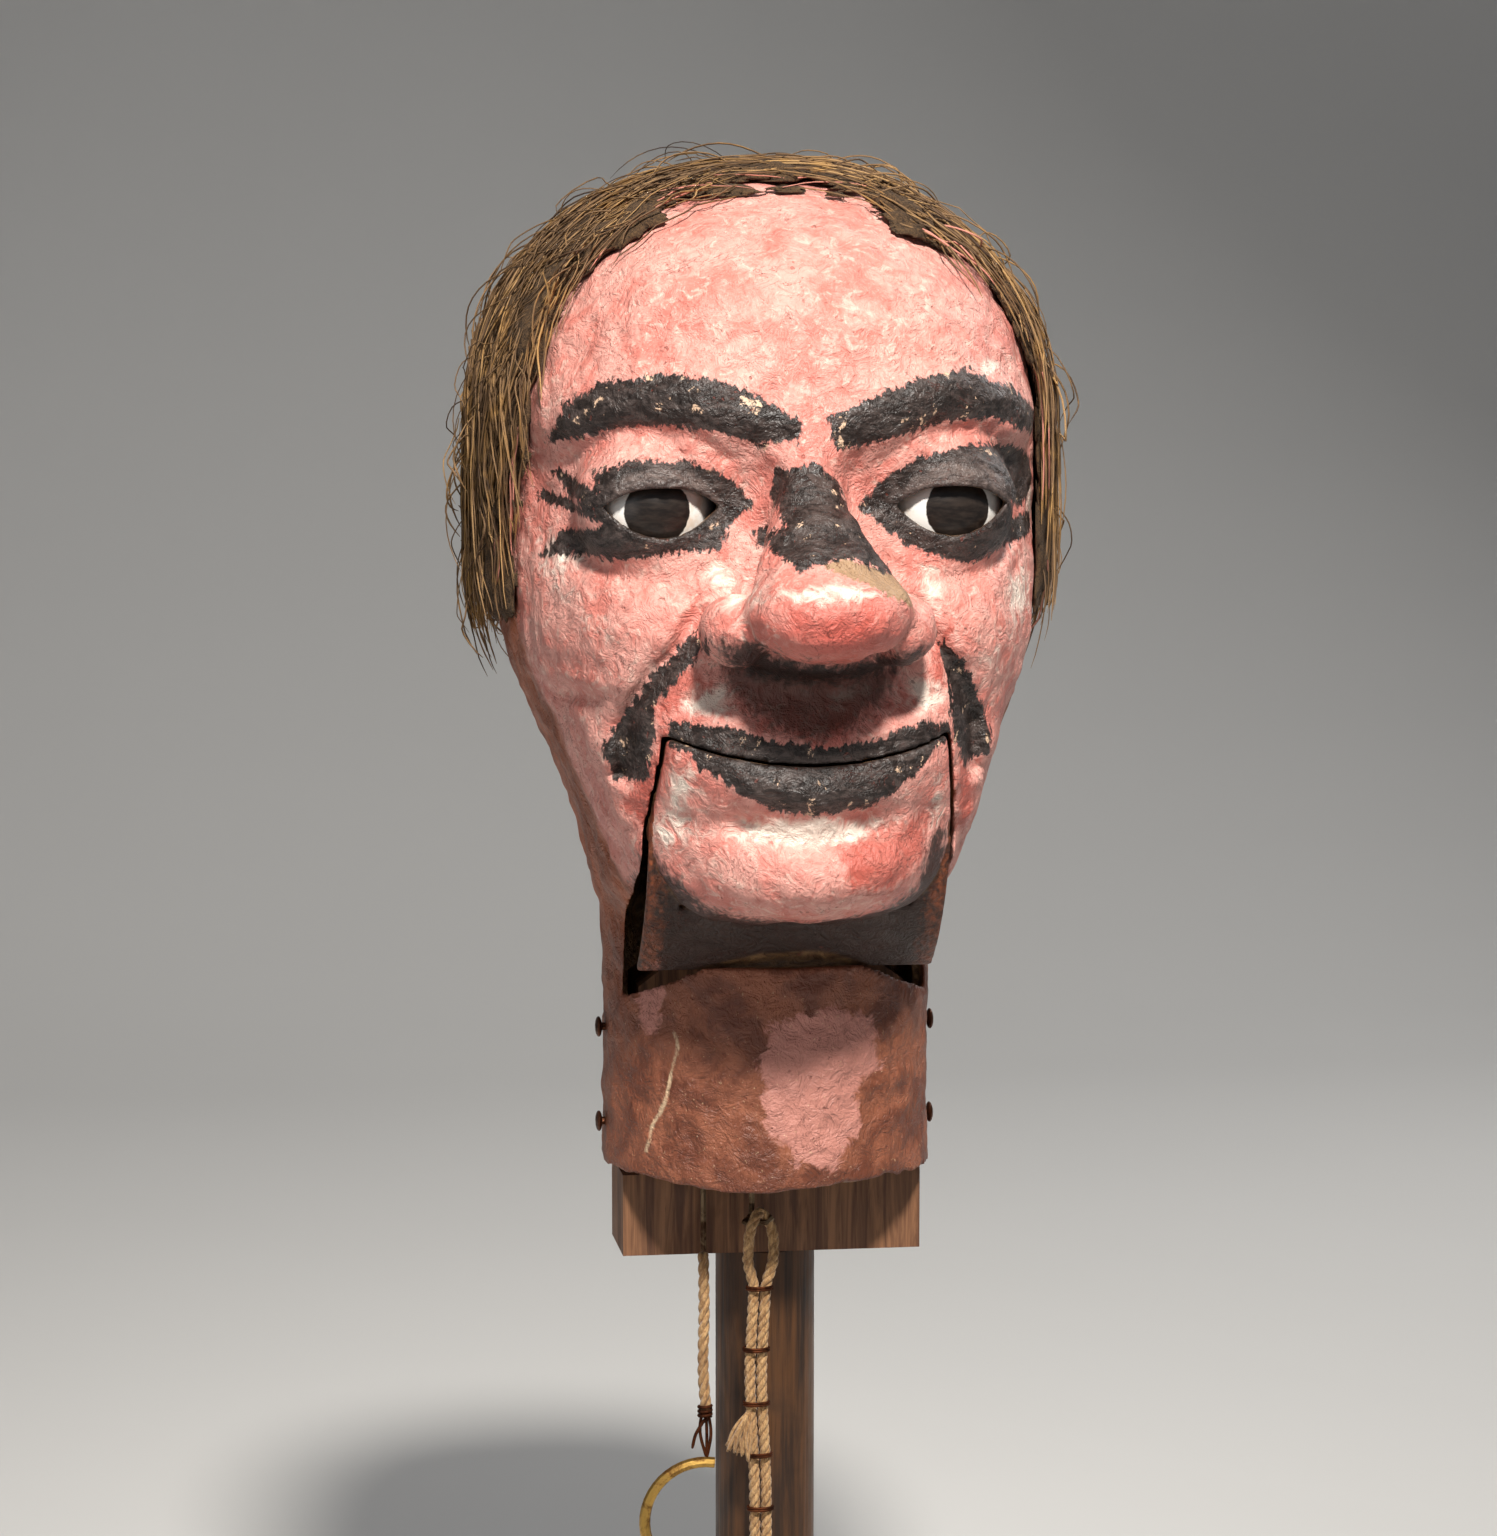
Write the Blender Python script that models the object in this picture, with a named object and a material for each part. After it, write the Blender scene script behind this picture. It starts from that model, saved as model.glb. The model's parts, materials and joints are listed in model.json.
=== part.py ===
"""Ventriloquist's puppet head on a stick: papier-mache head with a slot jaw and side-to-side eyes.

The frame: +Z up, the face looks along -Y, +X is the viewer's right. The origin is the centre of the
stick's lower end. Lengths are in metres.
"""

import math

import bmesh
import bpy
from mathutils import Matrix, Vector

MM = 0.001
GAP = 0.3 * MM  # between pieces that touch

# Driving dimensions
STICK_RADIUS = 12.5 * MM
STICK_TOP = 232 * MM
BOARD_BOTTOM = 190 * MM
BOARD_SHOULDER = 210.5 * MM  # the neck's rim sits on this
BOARD_NARROWS = 268 * MM  # above this the board is narrow, so that the jaw's arms pass it
BOARD_TOP = 359 * MM
BOARD_HALF_DEPTH = 12.5 * MM
BOARD_FOOT_HALF_WIDTH = 37.5 * MM
BOARD_NECK_HALF_WIDTH = 33.4 * MM
BOARD_HEAD_HALF_WIDTH = 20 * MM
NECK_RIM = 211 * MM
WALL = 4 * MM  # papier-mache
SHELL_SEAM_Y = 8 * MM  # where the front and back castings meet

JAW_AXIS_Z = 318 * MM
JAW_SIDE_GAP = 1.0 * MM
JAW_HALF_TOP = 33 * MM
JAW_HALF_BOTTOM = 36.5 * MM
JAW_KNEE_Z = 302 * MM
JAW_TAPER = ((33.5, 293), (28, 285), (21, 280.5), (12, 277.5))
MOUTH_CENTRE_Z = 320.5 * MM
MOUTH_CORNER_Z = 326.5 * MM
THROAT_CUT_Z = 266.5 * MM  # top edge of the neck's front, under the chin
SKIRT_RADIUS = 62.5 * MM
SKIRT_WALL = 2.2 * MM
SKIRT_HALF_WIDTH = 36.3 * MM
SKIRT_CHEEK_FROM = 28 * MM

EYE_X = 34.5 * MM
EYE_Y = -50.5 * MM
EYE_Z = 379 * MM
EYE_RADIUS = 15 * MM
EYE_CLEARANCE = 0.7 * MM
LID_WALL = 2.1 * MM
LID_HALF_WIDTH = 11.8 * MM
LID_HALF_HEIGHT = 5.4 * MM

WIRE_RADIUS = 0.75 * MM
WIRE_Y = -15.3 * MM
JAW_WIRE_X = -17.7 * MM
EYE_WIRE_X = -5.5 * MM
PULL_PIN_RADIUS = 0.8 * MM
TIE_Y = -26 * MM
CRANK_X = 6 * MM
CRANK_Z = 350 * MM

CORD_RADIUS = 1.5 * MM
HOOK_CENTRE = Vector((-17.6, -15.3, 122.3)) * MM
HOOK_RADIUS = 15 * MM
RING_CENTRE = Vector((-4.2, -20.5, 79.0)) * MM
RING_RADIUS = 14 * MM
RING_WIRE_RADIUS = 1.4 * MM

# The head's outline: height, front, widest, back, all from the stick's axis, in millimetres.
STATIONS = (
    (456, -4, 10, 16),
    (454.6, -14, 20, 30),
    (452, -26, 30, 43),
    (447.3, -39, 39.5, 55),
    (440, -51, 48.5, 66),
    (431, -60, 56, 75),
    (420, -66, 61, 81),
    (408, -70, 64, 85),
    (396, -71, 65.5, 87),
    (384, -70, 66, 87),
    (372, -70, 66, 86),
    (360, -71, 66, 83),
    (348, -73, 65, 79),
    (338, -76, 62.5, 73),
    (330, -79, 59.5, 68),
    (322, -81, 56, 62),
    (314, -82, 52.5, 57),
    (306, -79.5, 49.5, 52),
    (298, -81, 47, 48.5),
    (290, -79, 45, 45.5),
    (285, -74, 43.5, 44),
    (281.5, -62, 42.5, 43),
    (279.5, -48, 42, 42.5),
    (274, -42.5, 41.5, 42),
    (262, -41, 40.8, 41),
    (244, -40.5, 40.3, 40.5),
    (226, -40.8, 40.5, 40.8),
    (211, -42, 41.8, 42),
)
CHIN_FLOOR = ((289, -77, 45, 46), (286.5, -67, 44, 45), (285.5, -48, 43.5, 44), (276, -45, 42.5, 43))
NOSE_BALLS = (
    ((0, -67, 398), (6.5, 7, 6)),
    ((0, -74, 380), (8.5, 9, 8)),
    ((0.8, -94, 357.5), (19, 17, 12)),
    ((0.5, -76, 345), (15, 9, 6)),
)
SECTION_POINTS = 44


def clear_scene():
    for obj in list(bpy.data.objects):
        bpy.data.objects.remove(obj, do_unlink=True)


def material(name, colour, roughness, metallic=0.0):
    made = bpy.data.materials.new(name)
    made.use_nodes = True
    shader = made.node_tree.nodes["Principled BSDF"]
    shader.inputs["Base Color"].default_value = (*colour, 1.0)
    shader.inputs["Roughness"].default_value = roughness
    shader.inputs["Metallic"].default_value = metallic
    return made


def link(name, mesh, mat, sharp_deg=35):
    mesh.materials.clear()
    mesh.materials.append(mat)
    obj = bpy.data.objects.new(name, mesh)
    bpy.context.scene.collection.objects.link(obj)
    mesh.shade_smooth()
    mesh.set_sharp_from_angle(angle=math.radians(sharp_deg))
    return obj


def to_mesh(name, bm):
    bmesh.ops.recalc_face_normals(bm, faces=bm.faces)
    mesh = bpy.data.meshes.new(name)
    bm.to_mesh(mesh)
    bm.free()
    return mesh


def hide(obj):
    """A cutter: left out of the model."""
    obj.hide_render = True
    obj.display_type = "WIRE"
    return obj


def boolean(obj, other, operation="DIFFERENCE"):
    modifier = obj.modifiers.new(operation.lower() + "_" + other.name, "BOOLEAN")
    modifier.object = other
    modifier.operation = operation
    modifier.solver = "EXACT"
    hide(other)
    return obj


def bevel(obj, width, segments=2):
    modifier = obj.modifiers.new("edges", "BEVEL")
    modifier.width = width
    modifier.segments = segments
    modifier.limit_method = "ANGLE"
    modifier.angle_limit = math.radians(40)
    return obj


def block(name, low, high, mat):
    """A box from its low corner to its high corner."""
    bm = bmesh.new()
    bmesh.ops.create_cube(bm, size=1)
    low, high = Vector(low), Vector(high)
    bmesh.ops.scale(bm, vec=high - low, verts=bm.verts)
    bmesh.ops.translate(bm, vec=(low + high) / 2, verts=bm.verts)
    return link(name, to_mesh(name, bm), mat)


def rod(name, start, end, radius, mat, segments=16, end_radius=None):
    """A round bar between two points."""
    start, end = Vector(start), Vector(end)
    bm = bmesh.new()
    bmesh.ops.create_cone(
        bm,
        cap_ends=True,
        segments=segments,
        radius1=radius,
        radius2=radius if end_radius is None else end_radius,
        depth=(end - start).length,
    )
    turn = (end - start).to_track_quat("Z", "Y").to_matrix().to_4x4()
    bmesh.ops.transform(bm, matrix=Matrix.Translation((start + end) / 2) @ turn, verts=bm.verts)
    return link(name, to_mesh(name, bm), mat)


def ball(name, centre, radii, mat, segments=20, rings=12):
    bm = bmesh.new()
    bmesh.ops.create_uvsphere(bm, u_segments=segments, v_segments=rings, radius=1)
    bmesh.ops.scale(bm, vec=Vector(radii), verts=bm.verts)
    bmesh.ops.translate(bm, vec=Vector(centre), verts=bm.verts)
    return link(name, to_mesh(name, bm), mat)


def prism(name, outline, axis, low, high, mat):
    """An outline of two coordinates, extruded along "X", "Y" or "Z" from low to high."""
    place = {
        "X": lambda a, b, t: (t, a, b),
        "Y": lambda a, b, t: (a, t, b),
        "Z": lambda a, b, t: (a, b, t),
    }[axis]
    bm = bmesh.new()
    face = bm.faces.new([bm.verts.new(place(a, b, low)) for a, b in outline])
    moved = bmesh.ops.extrude_face_region(bm, geom=[face])["geom"]
    shift = place(0, 0, high - low)
    verts = [item for item in moved if isinstance(item, bmesh.types.BMVert)]
    bmesh.ops.translate(bm, vec=shift, verts=verts)
    return link(name, to_mesh(name, bm), mat)


def wire(name, points, radius, mat, cyclic=False, resolution=1):
    """A round wire or cord along points, with closed ends."""
    curve = bpy.data.curves.new(name, "CURVE")
    curve.dimensions = "3D"
    curve.bevel_depth = radius
    curve.bevel_resolution = resolution
    curve.use_fill_caps = not cyclic
    curve.materials.append(mat)
    spline = curve.splines.new("POLY")
    spline.points.add(len(points) - 1)
    for target, point in zip(spline.points, points, strict=True):
        target.co = (*point, 1)
    spline.use_cyclic_u = cyclic
    obj = bpy.data.objects.new(name, curve)
    bpy.context.scene.collection.objects.link(obj)
    return obj


def arc(centre, radius, start_deg, end_deg, steps, plane="XZ"):
    """Points on an arc; angles run from the plane's first axis to its second."""
    points = []
    for i in range(steps + 1):
        angle = math.radians(start_deg + (end_deg - start_deg) * i / steps)
        first, second = radius * math.cos(angle), radius * math.sin(angle)
        offset = {"XZ": (first, 0, second), "YZ": (0, first, second), "XY": (first, second, 0)}
        points.append(Vector(centre) + Vector(offset[plane]))
    return points


def smooth_route(route, step):
    """Points every step along a smooth (Catmull-Rom) curve through the route's own points."""
    ends = [route[0] * 2 - route[1], *route, route[-1] * 2 - route[-2]]
    fine = []
    for a, b, c, d in zip(ends, ends[1:], ends[2:], ends[3:], strict=False):
        count = max(1, round((c - b).length / step))
        for i in range(count):
            t = i / count
            linear = (c - a) * t
            square = (a * 2 - b * 5 + c * 4 - d) * t * t
            cube = (b * 3 - a - c * 3 + d) * t**3
            fine.append((b * 2 + linear + square + cube) / 2)
    return [*fine, route[-1]]


# The head's surface


def hermite(x, x0, x1, y0, y1, slope0, slope1):
    span = x1 - x0
    t = (x - x0) / span
    return (
        y0 * (2 * t**3 - 3 * t**2 + 1)
        + slope0 * span * (t**3 - 2 * t**2 + t)
        + y1 * (3 * t**2 - 2 * t**3)
        + slope1 * span * (t**3 - t**2)
    )


def relief(x, z):
    """How far the face stands proud of its plain outline at a place seen from the front."""

    def mound(centre_x, centre_z, wide, high, amount):
        return amount * math.exp(-(((abs(x) - centre_x) / wide) ** 2) - ((z - centre_z) / high) ** 2)

    return (
        mound(34.5, 380, 13, 9, -5)  # eye sockets
        + mound(30, 402, 22, 8, 2.5)  # brows
        + mound(40, 352, 16, 15, 5)  # cheeks
        + mound(0, 328, 26, 6, 1.5)  # upper lip
        + mound(0, 311, 24, 6, 2)  # lower lip
        + mound(0, 292, 20, 8, 3)  # chin
    )


def section(station, inset):
    """One level of the head as points round it, all inset by a wall's thickness."""
    height, front, widest, back = station
    middle = 0 if height < 300 else min(8, (height - 300) / 4)
    boxy = 2.0 if height < 284 else 2.35
    points = []
    for i in range(SECTION_POINTS):
        angle = 2 * math.pi * i / SECTION_POINTS
        across, along = math.cos(angle), math.sin(angle)
        x = math.copysign(abs(across) ** (2 / boxy), across) * (widest - inset)
        if along < 0:
            share = abs(along) ** (2 / boxy)
            y = middle - (middle - front - inset) * share
            y -= relief(x, height) * share
        else:
            y = middle + (back - middle - inset) * abs(along) ** (2 / boxy)
        points.append(Vector((x, y, height)) * MM)
    return points


def loft(name, stations, inset, mat):
    """A closed skin over the stations."""
    bm = bmesh.new()
    rings = [[bm.verts.new(p) for p in section(s, inset)] for s in stations]
    for upper, lower in zip(rings, rings[1:], strict=False):
        for i in range(SECTION_POINTS):
            j = (i + 1) % SECTION_POINTS
            bm.faces.new((upper[i], upper[j], lower[j], lower[i]))
    bm.faces.new(rings[0])
    bm.faces.new(reversed(rings[-1]))
    return link(name, to_mesh(name, bm), mat, sharp_deg=60)


def nose_wedge(name, mat):
    """The nose from its bridge to its bulb, as the hull of a few balls."""
    bm = bmesh.new()
    for centre, radii in NOSE_BALLS:
        for level in range(1, 8):
            tilt = math.pi * level / 8
            for step in range(14):
                turn = 2 * math.pi * step / 14
                ray = (math.sin(tilt) * math.cos(turn), math.sin(tilt) * math.sin(turn), math.cos(tilt))
                bm.verts.new([(c + r * d) * MM for c, r, d in zip(centre, radii, ray, strict=True)])
    hull = bmesh.ops.convex_hull(bm, input=bm.verts)
    spare = (*hull["geom_interior"], *hull["geom_unused"])
    unused = {v for v in spare if isinstance(v, bmesh.types.BMVert)}
    bmesh.ops.delete(bm, geom=list(unused), context="VERTS")
    return link(name, to_mesh(name, bm), mat, sharp_deg=60)


def outer_head(name, mat):
    """The whole head's outside, jaw, nose and the bulge of the lids included, as one solid."""
    head = loft(name, STATIONS, 0, mat)
    lid = EYE_RADIUS + EYE_CLEARANCE + LID_WALL
    centres = {k: (k * EYE_X, EYE_Y, EYE_Z) for k in (-1, 1)}
    parts = [ball(f"{name}_lids_{k}", centres[k], (lid, lid, lid), mat, 30, 20) for k in (-1, 1)]
    for side in (-1, 1):
        centre = (side * 18.5 * MM, -82 * MM, 352 * MM)
        parts.append(ball(f"{name}_nostril_{side}", centre, (9.5 * MM, 12.5 * MM, 8.5 * MM), mat, 14, 9))
    for part in (*parts, nose_wedge(name + "_nose", mat)):
        boolean(head, part, "UNION")
    return head


def inner_head(name, mat):
    """The hollow of the head: the outline, a wall's thickness inside it, open below the rim."""
    above = [s for s in STATIONS[2::2] if s[0] > 290]
    below = [s for s in STATIONS if s[0] < 265]
    rim = STATIONS[-1]
    inside = [*above, *CHIN_FLOOR, *below, (rim[0] - 6, *rim[1:])]
    return loft(name, inside, WALL / MM, mat)


def mouth_outline(side_gap, lip_gap, lower):
    """The jaw's front outline, in X and Z: up the left side, along the mouth line and down the right.

    lower holds the points below the cheeks' knees, on the right side, from the top down."""
    top, bottom = JAW_HALF_TOP + side_gap, JAW_HALF_BOTTOM + side_gap
    right = [(bottom, JAW_KNEE_Z), *lower]
    points = [(-top, MOUTH_CORNER_Z + lip_gap), *[(-x, z) for x, z in right]]
    points += [*reversed(right), (top, MOUTH_CORNER_Z + lip_gap)]
    steps = 10
    for i in range(1, steps):
        share = 1 - 2 * i / steps
        rise = (MOUTH_CORNER_Z - MOUTH_CENTRE_Z) * share**2
        points.append((top * share, MOUTH_CENTRE_Z + rise + lip_gap))
    return points


def lens_outline(centre_x, centre_z, half_width, half_height, steps=8):
    """The almond of an eye's opening, in X and Z."""
    points = []
    for i in range(steps):
        share = math.cos(math.pi * i / steps)
        points.append((centre_x + half_width * share, centre_z + half_height * (1 - share**2)))
    for i in range(steps):
        share = -math.cos(math.pi * i / steps)
        points.append((centre_x + half_width * share, centre_z - half_height * (1 - share**2)))
    return points


def cut_round_mouth(shell, mat):
    """Opens the shell for the jaw, and clears the path that the jaw's throat skirt sweeps."""
    slot_foot = (JAW_HALF_BOTTOM + JAW_SIDE_GAP, THROAT_CUT_Z)
    outline = mouth_outline(JAW_SIDE_GAP, 0.7 * MM, [slot_foot])
    boolean(shell, prism("mouth_cutter", outline, "Y", -110 * MM, -25 * MM, mat))
    sweep = SKIRT_RADIUS + 0.8 * MM
    pivot = Vector((0, 0, JAW_AXIS_Z))
    sector = [(p.y, p.z) for p in arc(pivot, sweep, 200, 258, 14, "YZ")]
    sector.append((-12.5 * MM, JAW_AXIS_Z - 10 * MM))
    reach = SKIRT_HALF_WIDTH + 1.2 * MM
    boolean(shell, prism("sweep_cutter", sector, "X", -reach, reach, mat))


def cut_eye_sockets(shell, mat):
    for side in (-1, 1):
        centre = Vector((side * EYE_X, EYE_Y, EYE_Z))
        seat = EYE_RADIUS + EYE_CLEARANCE
        boolean(shell, ball(f"seat_cutter_{side}", centre, (seat, seat, seat), mat, 28, 18))
        almond = lens_outline(centre.x, centre.z, LID_HALF_WIDTH, LID_HALF_HEIGHT)
        boolean(shell, prism(f"lid_cutter_{side}", almond, "Y", -100 * MM, EYE_Y, mat))


def tack_places():
    """(name, side, height) of the tacks that hold the neck to the board's edges."""
    levels = (("lower", 222 * MM), ("upper", 246 * MM))
    sides = (("left", -1), ("right", 1))
    return [(f"neck_tack_{s}_{n}", k, z) for s, k in sides for n, z in levels]


def drill_tack_holes(obj, mat, sides=(-1, 1)):
    for name, side, height in tack_places():
        if side in sides:
            start = (side * 30 * MM, 0, height)
            end = (side * 48 * MM, 0, height)
            boolean(obj, rod(f"{obj.name}_{name}_hole", start, end, 1.5 * MM, mat, 12))


def half_space(name, y_low, y_high, mat):
    return block(name, (-0.12, y_low, 0.18), (0.12, y_high, 0.50), mat)


def hatch_outline(grow):
    """The access hatch behind the skull, in X and Z."""
    width, bottom, top, corner = 24 * MM + grow, 352 * MM - grow, 408 * MM + grow, 6 * MM
    points = []
    for cx, cz, start in (
        (width - corner, top - corner, 0),
        (corner - width, top - corner, 90),
        (corner - width, bottom + corner, 180),
        (width - corner, bottom + corner, 270),
    ):
        points += [(p.x, p.z) for p in arc((cx, 0, cz), corner, start, start + 90, 4)]
    return points


def make_shells(paint, raw):
    """The papier-mache castings: face with the neck's front, back with the nape, hatch and jaw."""
    face = outer_head("face_shell", paint)
    boolean(face, inner_head("face_hollow", raw))
    boolean(face, half_space("face_back_cutter", SHELL_SEAM_Y - GAP / 2, 0.2, raw))
    cut_round_mouth(face, raw)
    cut_eye_sockets(face, raw)
    drill_tack_holes(face, raw)

    back = loft("back_shell", STATIONS, 0, paint)
    boolean(back, inner_head("back_hollow", raw))
    boolean(back, half_space("back_front_cutter", -0.2, SHELL_SEAM_Y + GAP / 2, raw))
    boolean(back, prism("hatch_cutter", hatch_outline(0.6 * MM), "Y", 60 * MM, 110 * MM, raw))

    hatch = loft("skull_hatch", STATIONS, 0, raw)
    boolean(hatch, inner_head("hatch_hollow", raw))
    boolean(hatch, prism("hatch_keeper", hatch_outline(0), "Y", 60 * MM, 110 * MM, raw), "INTERSECT")
    make_hatch_battens(raw)


def make_hatch_battens(raw):
    """Two ledges glued inside the back shell, which the hatch is screwed to."""
    for name, height in (("lower", 344), ("upper", 409)):
        low = (-14 * MM, 66 * MM, height * MM)
        high = (14 * MM, 70 * MM, (height + 5) * MM)
        block(f"hatch_ledge_{name}", low, high, raw)


def skirt_band(start_deg):
    """The throat skirt's section, in Y and Z: an arc about the jaw's axis from start_deg to its foot."""
    pivot, foot = Vector((0, 0, JAW_AXIS_Z)), 237.5
    outside = arc(pivot, SKIRT_RADIUS, start_deg, foot, 9, "YZ")
    inside = arc(pivot, SKIRT_RADIUS - SKIRT_WALL, foot, start_deg, 9, "YZ")
    return [(p.y, p.z) for p in outside + inside]


def make_jaw_shell(paint, raw):
    """The chin and lower lip, and the throat skirt that closes the gap under the chin."""
    jaw = outer_head("jaw_shell", paint)
    boolean(jaw, inner_head("jaw_hollow", raw))
    outline = mouth_outline(0, 0, [(x * MM, z * MM) for x, z in JAW_TAPER])
    boolean(jaw, prism("jaw_keeper", outline, "Y", -110 * MM, -45.5 * MM, raw), "INTERSECT")
    skirt = prism("jaw_skirt", skirt_band(214), "X", -SKIRT_HALF_WIDTH, SKIRT_HALF_WIDTH, paint)
    boolean(jaw, skirt, "UNION")
    for side in (-1, 1):
        low, high = sorted((side * SKIRT_CHEEK_FROM, side * SKIRT_HALF_WIDTH))
        boolean(jaw, prism(f"skirt_cheek_{side}", skirt_band(196), "X", low, high, paint), "UNION")


# The wooden frame


def make_frame(wood, dark_wood, steel):
    board_outline = [
        (-BOARD_FOOT_HALF_WIDTH, BOARD_BOTTOM),
        (BOARD_FOOT_HALF_WIDTH, BOARD_BOTTOM),
        (BOARD_FOOT_HALF_WIDTH, BOARD_SHOULDER),
        (BOARD_NECK_HALF_WIDTH, BOARD_SHOULDER),
        (BOARD_NECK_HALF_WIDTH, BOARD_NARROWS - 10 * MM),
        (BOARD_HEAD_HALF_WIDTH, BOARD_NARROWS),
        (BOARD_HEAD_HALF_WIDTH, BOARD_TOP),
        (-BOARD_HEAD_HALF_WIDTH, BOARD_TOP),
        (-BOARD_HEAD_HALF_WIDTH, BOARD_NARROWS),
        (-BOARD_NECK_HALF_WIDTH, BOARD_NARROWS - 10 * MM),
        (-BOARD_NECK_HALF_WIDTH, BOARD_SHOULDER),
        (-BOARD_FOOT_HALF_WIDTH, BOARD_SHOULDER),
    ]
    depth = BOARD_HALF_DEPTH
    board = prism("spine_board", board_outline, "Y", -depth, depth, wood)
    # The stick is as thick as the board, so its upper end is turned down to a tenon.
    tenon = 9 * MM
    socket = rod(
        "stick_socket", (0, 0, BOARD_BOTTOM - 5 * MM), (0, 0, STICK_TOP + 1 * MM), tenon + GAP, wood, 24
    )
    boolean(board, socket)
    boolean(board, rod("axle_hole", (-30 * MM, 0, JAW_AXIS_Z), (30 * MM, 0, JAW_AXIS_Z), 2.3 * MM, wood))
    pin_hole = rod("pin_hole", (0, -20 * MM, 218 * MM), (0, 20 * MM, 218 * MM), 1.8 * MM, wood, 12)
    boolean(board, pin_hole)
    drill_tack_holes(board, wood)
    for x, z in ((CRANK_X, CRANK_Z), (CRANK_X, 300 * MM)):
        boolean(board, rod("front_hole", (x, -20 * MM, z), (x, -1 * MM, z), 1.8 * MM, wood, 12))
    boolean(board, rod("rear_hole", (0, 20 * MM, 266 * MM), (0, 2 * MM, 266 * MM), 1.3 * MM, wood, 12))
    for side in (-1, 1):
        start = (side * 12 * MM, 0, BOARD_TOP + 2 * MM)
        end = (side * 12 * MM, 0, BOARD_TOP - 14 * MM)
        boolean(board, rod("shelf_hole", start, end, 1.8 * MM, wood, 12))

    stick = rod("head_stick", (0, 0, 0), (0, 0, BOARD_BOTTOM - GAP), STICK_RADIUS, dark_wood, 40)
    boolean(stick, rod("stick_tenon", (0, 0, 0.15), (0, 0, STICK_TOP), tenon, dark_wood, 24), "UNION")
    pin_from, pin_to = (0, -20 * MM, 218 * MM), (0, 20 * MM, 218 * MM)
    boolean(stick, rod("stick_pin_hole", pin_from, pin_to, 1.8 * MM, wood, 12))
    rod("stick_pin", (0, -12.2 * MM, 218 * MM), (0, 12.2 * MM, 218 * MM), 1.5 * MM, steel, 12)


def make_tacks(steel):
    """Round-headed tacks through the neck's wall into the board's edges."""
    for name, side, height in tack_places():
        head_x = side * 42.1 * MM
        tack = rod(name, (head_x, 0, height), (side * 31.5 * MM, 0, height), 1.0 * MM, steel, 8)
        cap = ball(f"{name}_cap", (head_x, 0, height), (0.9 * MM, 2.6 * MM, 2.6 * MM), steel, 12, 8)
        boolean(tack, cap, "UNION")


def screw(name, head, tip, shank, cap_radius, cap_depth, mat):
    """A round-headed screw: the cap's underside is at head, and the shank runs to tip."""
    head, tip = Vector(head), Vector(tip)
    out = (head - tip).normalized()
    made = rod(name, head + out * cap_depth / 2, tip, shank, mat, 12)
    cap = rod(f"{name}_cap", head, head + out * cap_depth, cap_radius, mat, 16, cap_radius * 0.72)
    return boolean(made, cap, "UNION")


# The jaw's moving parts


def make_jaw_works(wood, steel):
    profile = [
        (27 * MM, 312 * MM),
        (27 * MM, 324 * MM),
        (-34 * MM, 324.5 * MM),
        (-56 * MM, 315 * MM),
        (-62 * MM, 306 * MM),
        (-62 * MM, 297 * MM),
        (-55 * MM, 296 * MM),
        (-34 * MM, 308 * MM),
        (-8 * MM, 311 * MM),
    ]
    for name, side in (("left", -1), ("right", 1)):
        low, high = sorted((side * 21.2 * MM, side * 27 * MM))
        arm = prism(f"jaw_arm_{name}", profile, "X", low, high, wood)
        start, end = (side * 18 * MM, 0, JAW_AXIS_Z), (side * 30 * MM, 0, JAW_AXIS_Z)
        boolean(arm, rod(f"arm_bore_{name}", start, end, 2.4 * MM, wood))
        inner, outer = side * 27.5 * MM, side * 30 * MM
        collar = rod(f"axle_collar_{name}", (inner, 0, JAW_AXIS_Z), (outer, 0, JAW_AXIS_Z), 4 * MM, steel)
        bore_end = side * 33 * MM
        bore_start = (side * 25 * MM, 0, JAW_AXIS_Z)
        bore = rod(f"collar_bore_{name}", bore_start, (bore_end, 0, JAW_AXIS_Z), 2.3 * MM, steel)
        boolean(collar, bore)
    rod("jaw_axle", (-31 * MM, 0, JAW_AXIS_Z), (31 * MM, 0, JAW_AXIS_Z), 2 * MM, steel)
    inside = 21.2 * MM - GAP
    bar = block("jaw_cross_bar", (-inside, -34 * MM, 314 * MM), (inside, -25 * MM, 322 * MM), wood)
    pin_start, pin_end = (JAW_WIRE_X, -33 * MM, JAW_AXIS_Z), (JAW_WIRE_X, -20 * MM, JAW_AXIS_Z)
    boolean(bar, rod("pull_pin_hole", pin_start, pin_end, 1.3 * MM, wood, 12))
    pin_start, pin_end = (JAW_WIRE_X, -32 * MM, JAW_AXIS_Z), (JAW_WIRE_X, -13.4 * MM, JAW_AXIS_Z)
    rod("jaw_pull_pin", pin_start, pin_end, PULL_PIN_RADIUS, steel, 12)
    block("chin_block", (-inside, -66 * MM, 291 * MM), (inside, -55 * MM, 303 * MM), wood)
    tail = block("jaw_tail_bar", (-inside, 18 * MM, 314 * MM), (inside, 26 * MM, 322 * MM), wood)
    boolean(tail, rod("tail_hole", (0, 22 * MM, 325 * MM), (0, 22 * MM, 311 * MM), 2.2 * MM, wood, 12))
    floor = [(-inside, -34.5 * MM), (inside, -34.5 * MM), (18 * MM, -66 * MM), (-18 * MM, -66 * MM)]
    return floor


def make_mouth_floor(outline, mat):
    """The painted card between the jaw's arms, seen when the mouth opens."""
    prism("mouth_floor", outline, "Z", 308.5 * MM, 310 * MM, mat)


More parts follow.
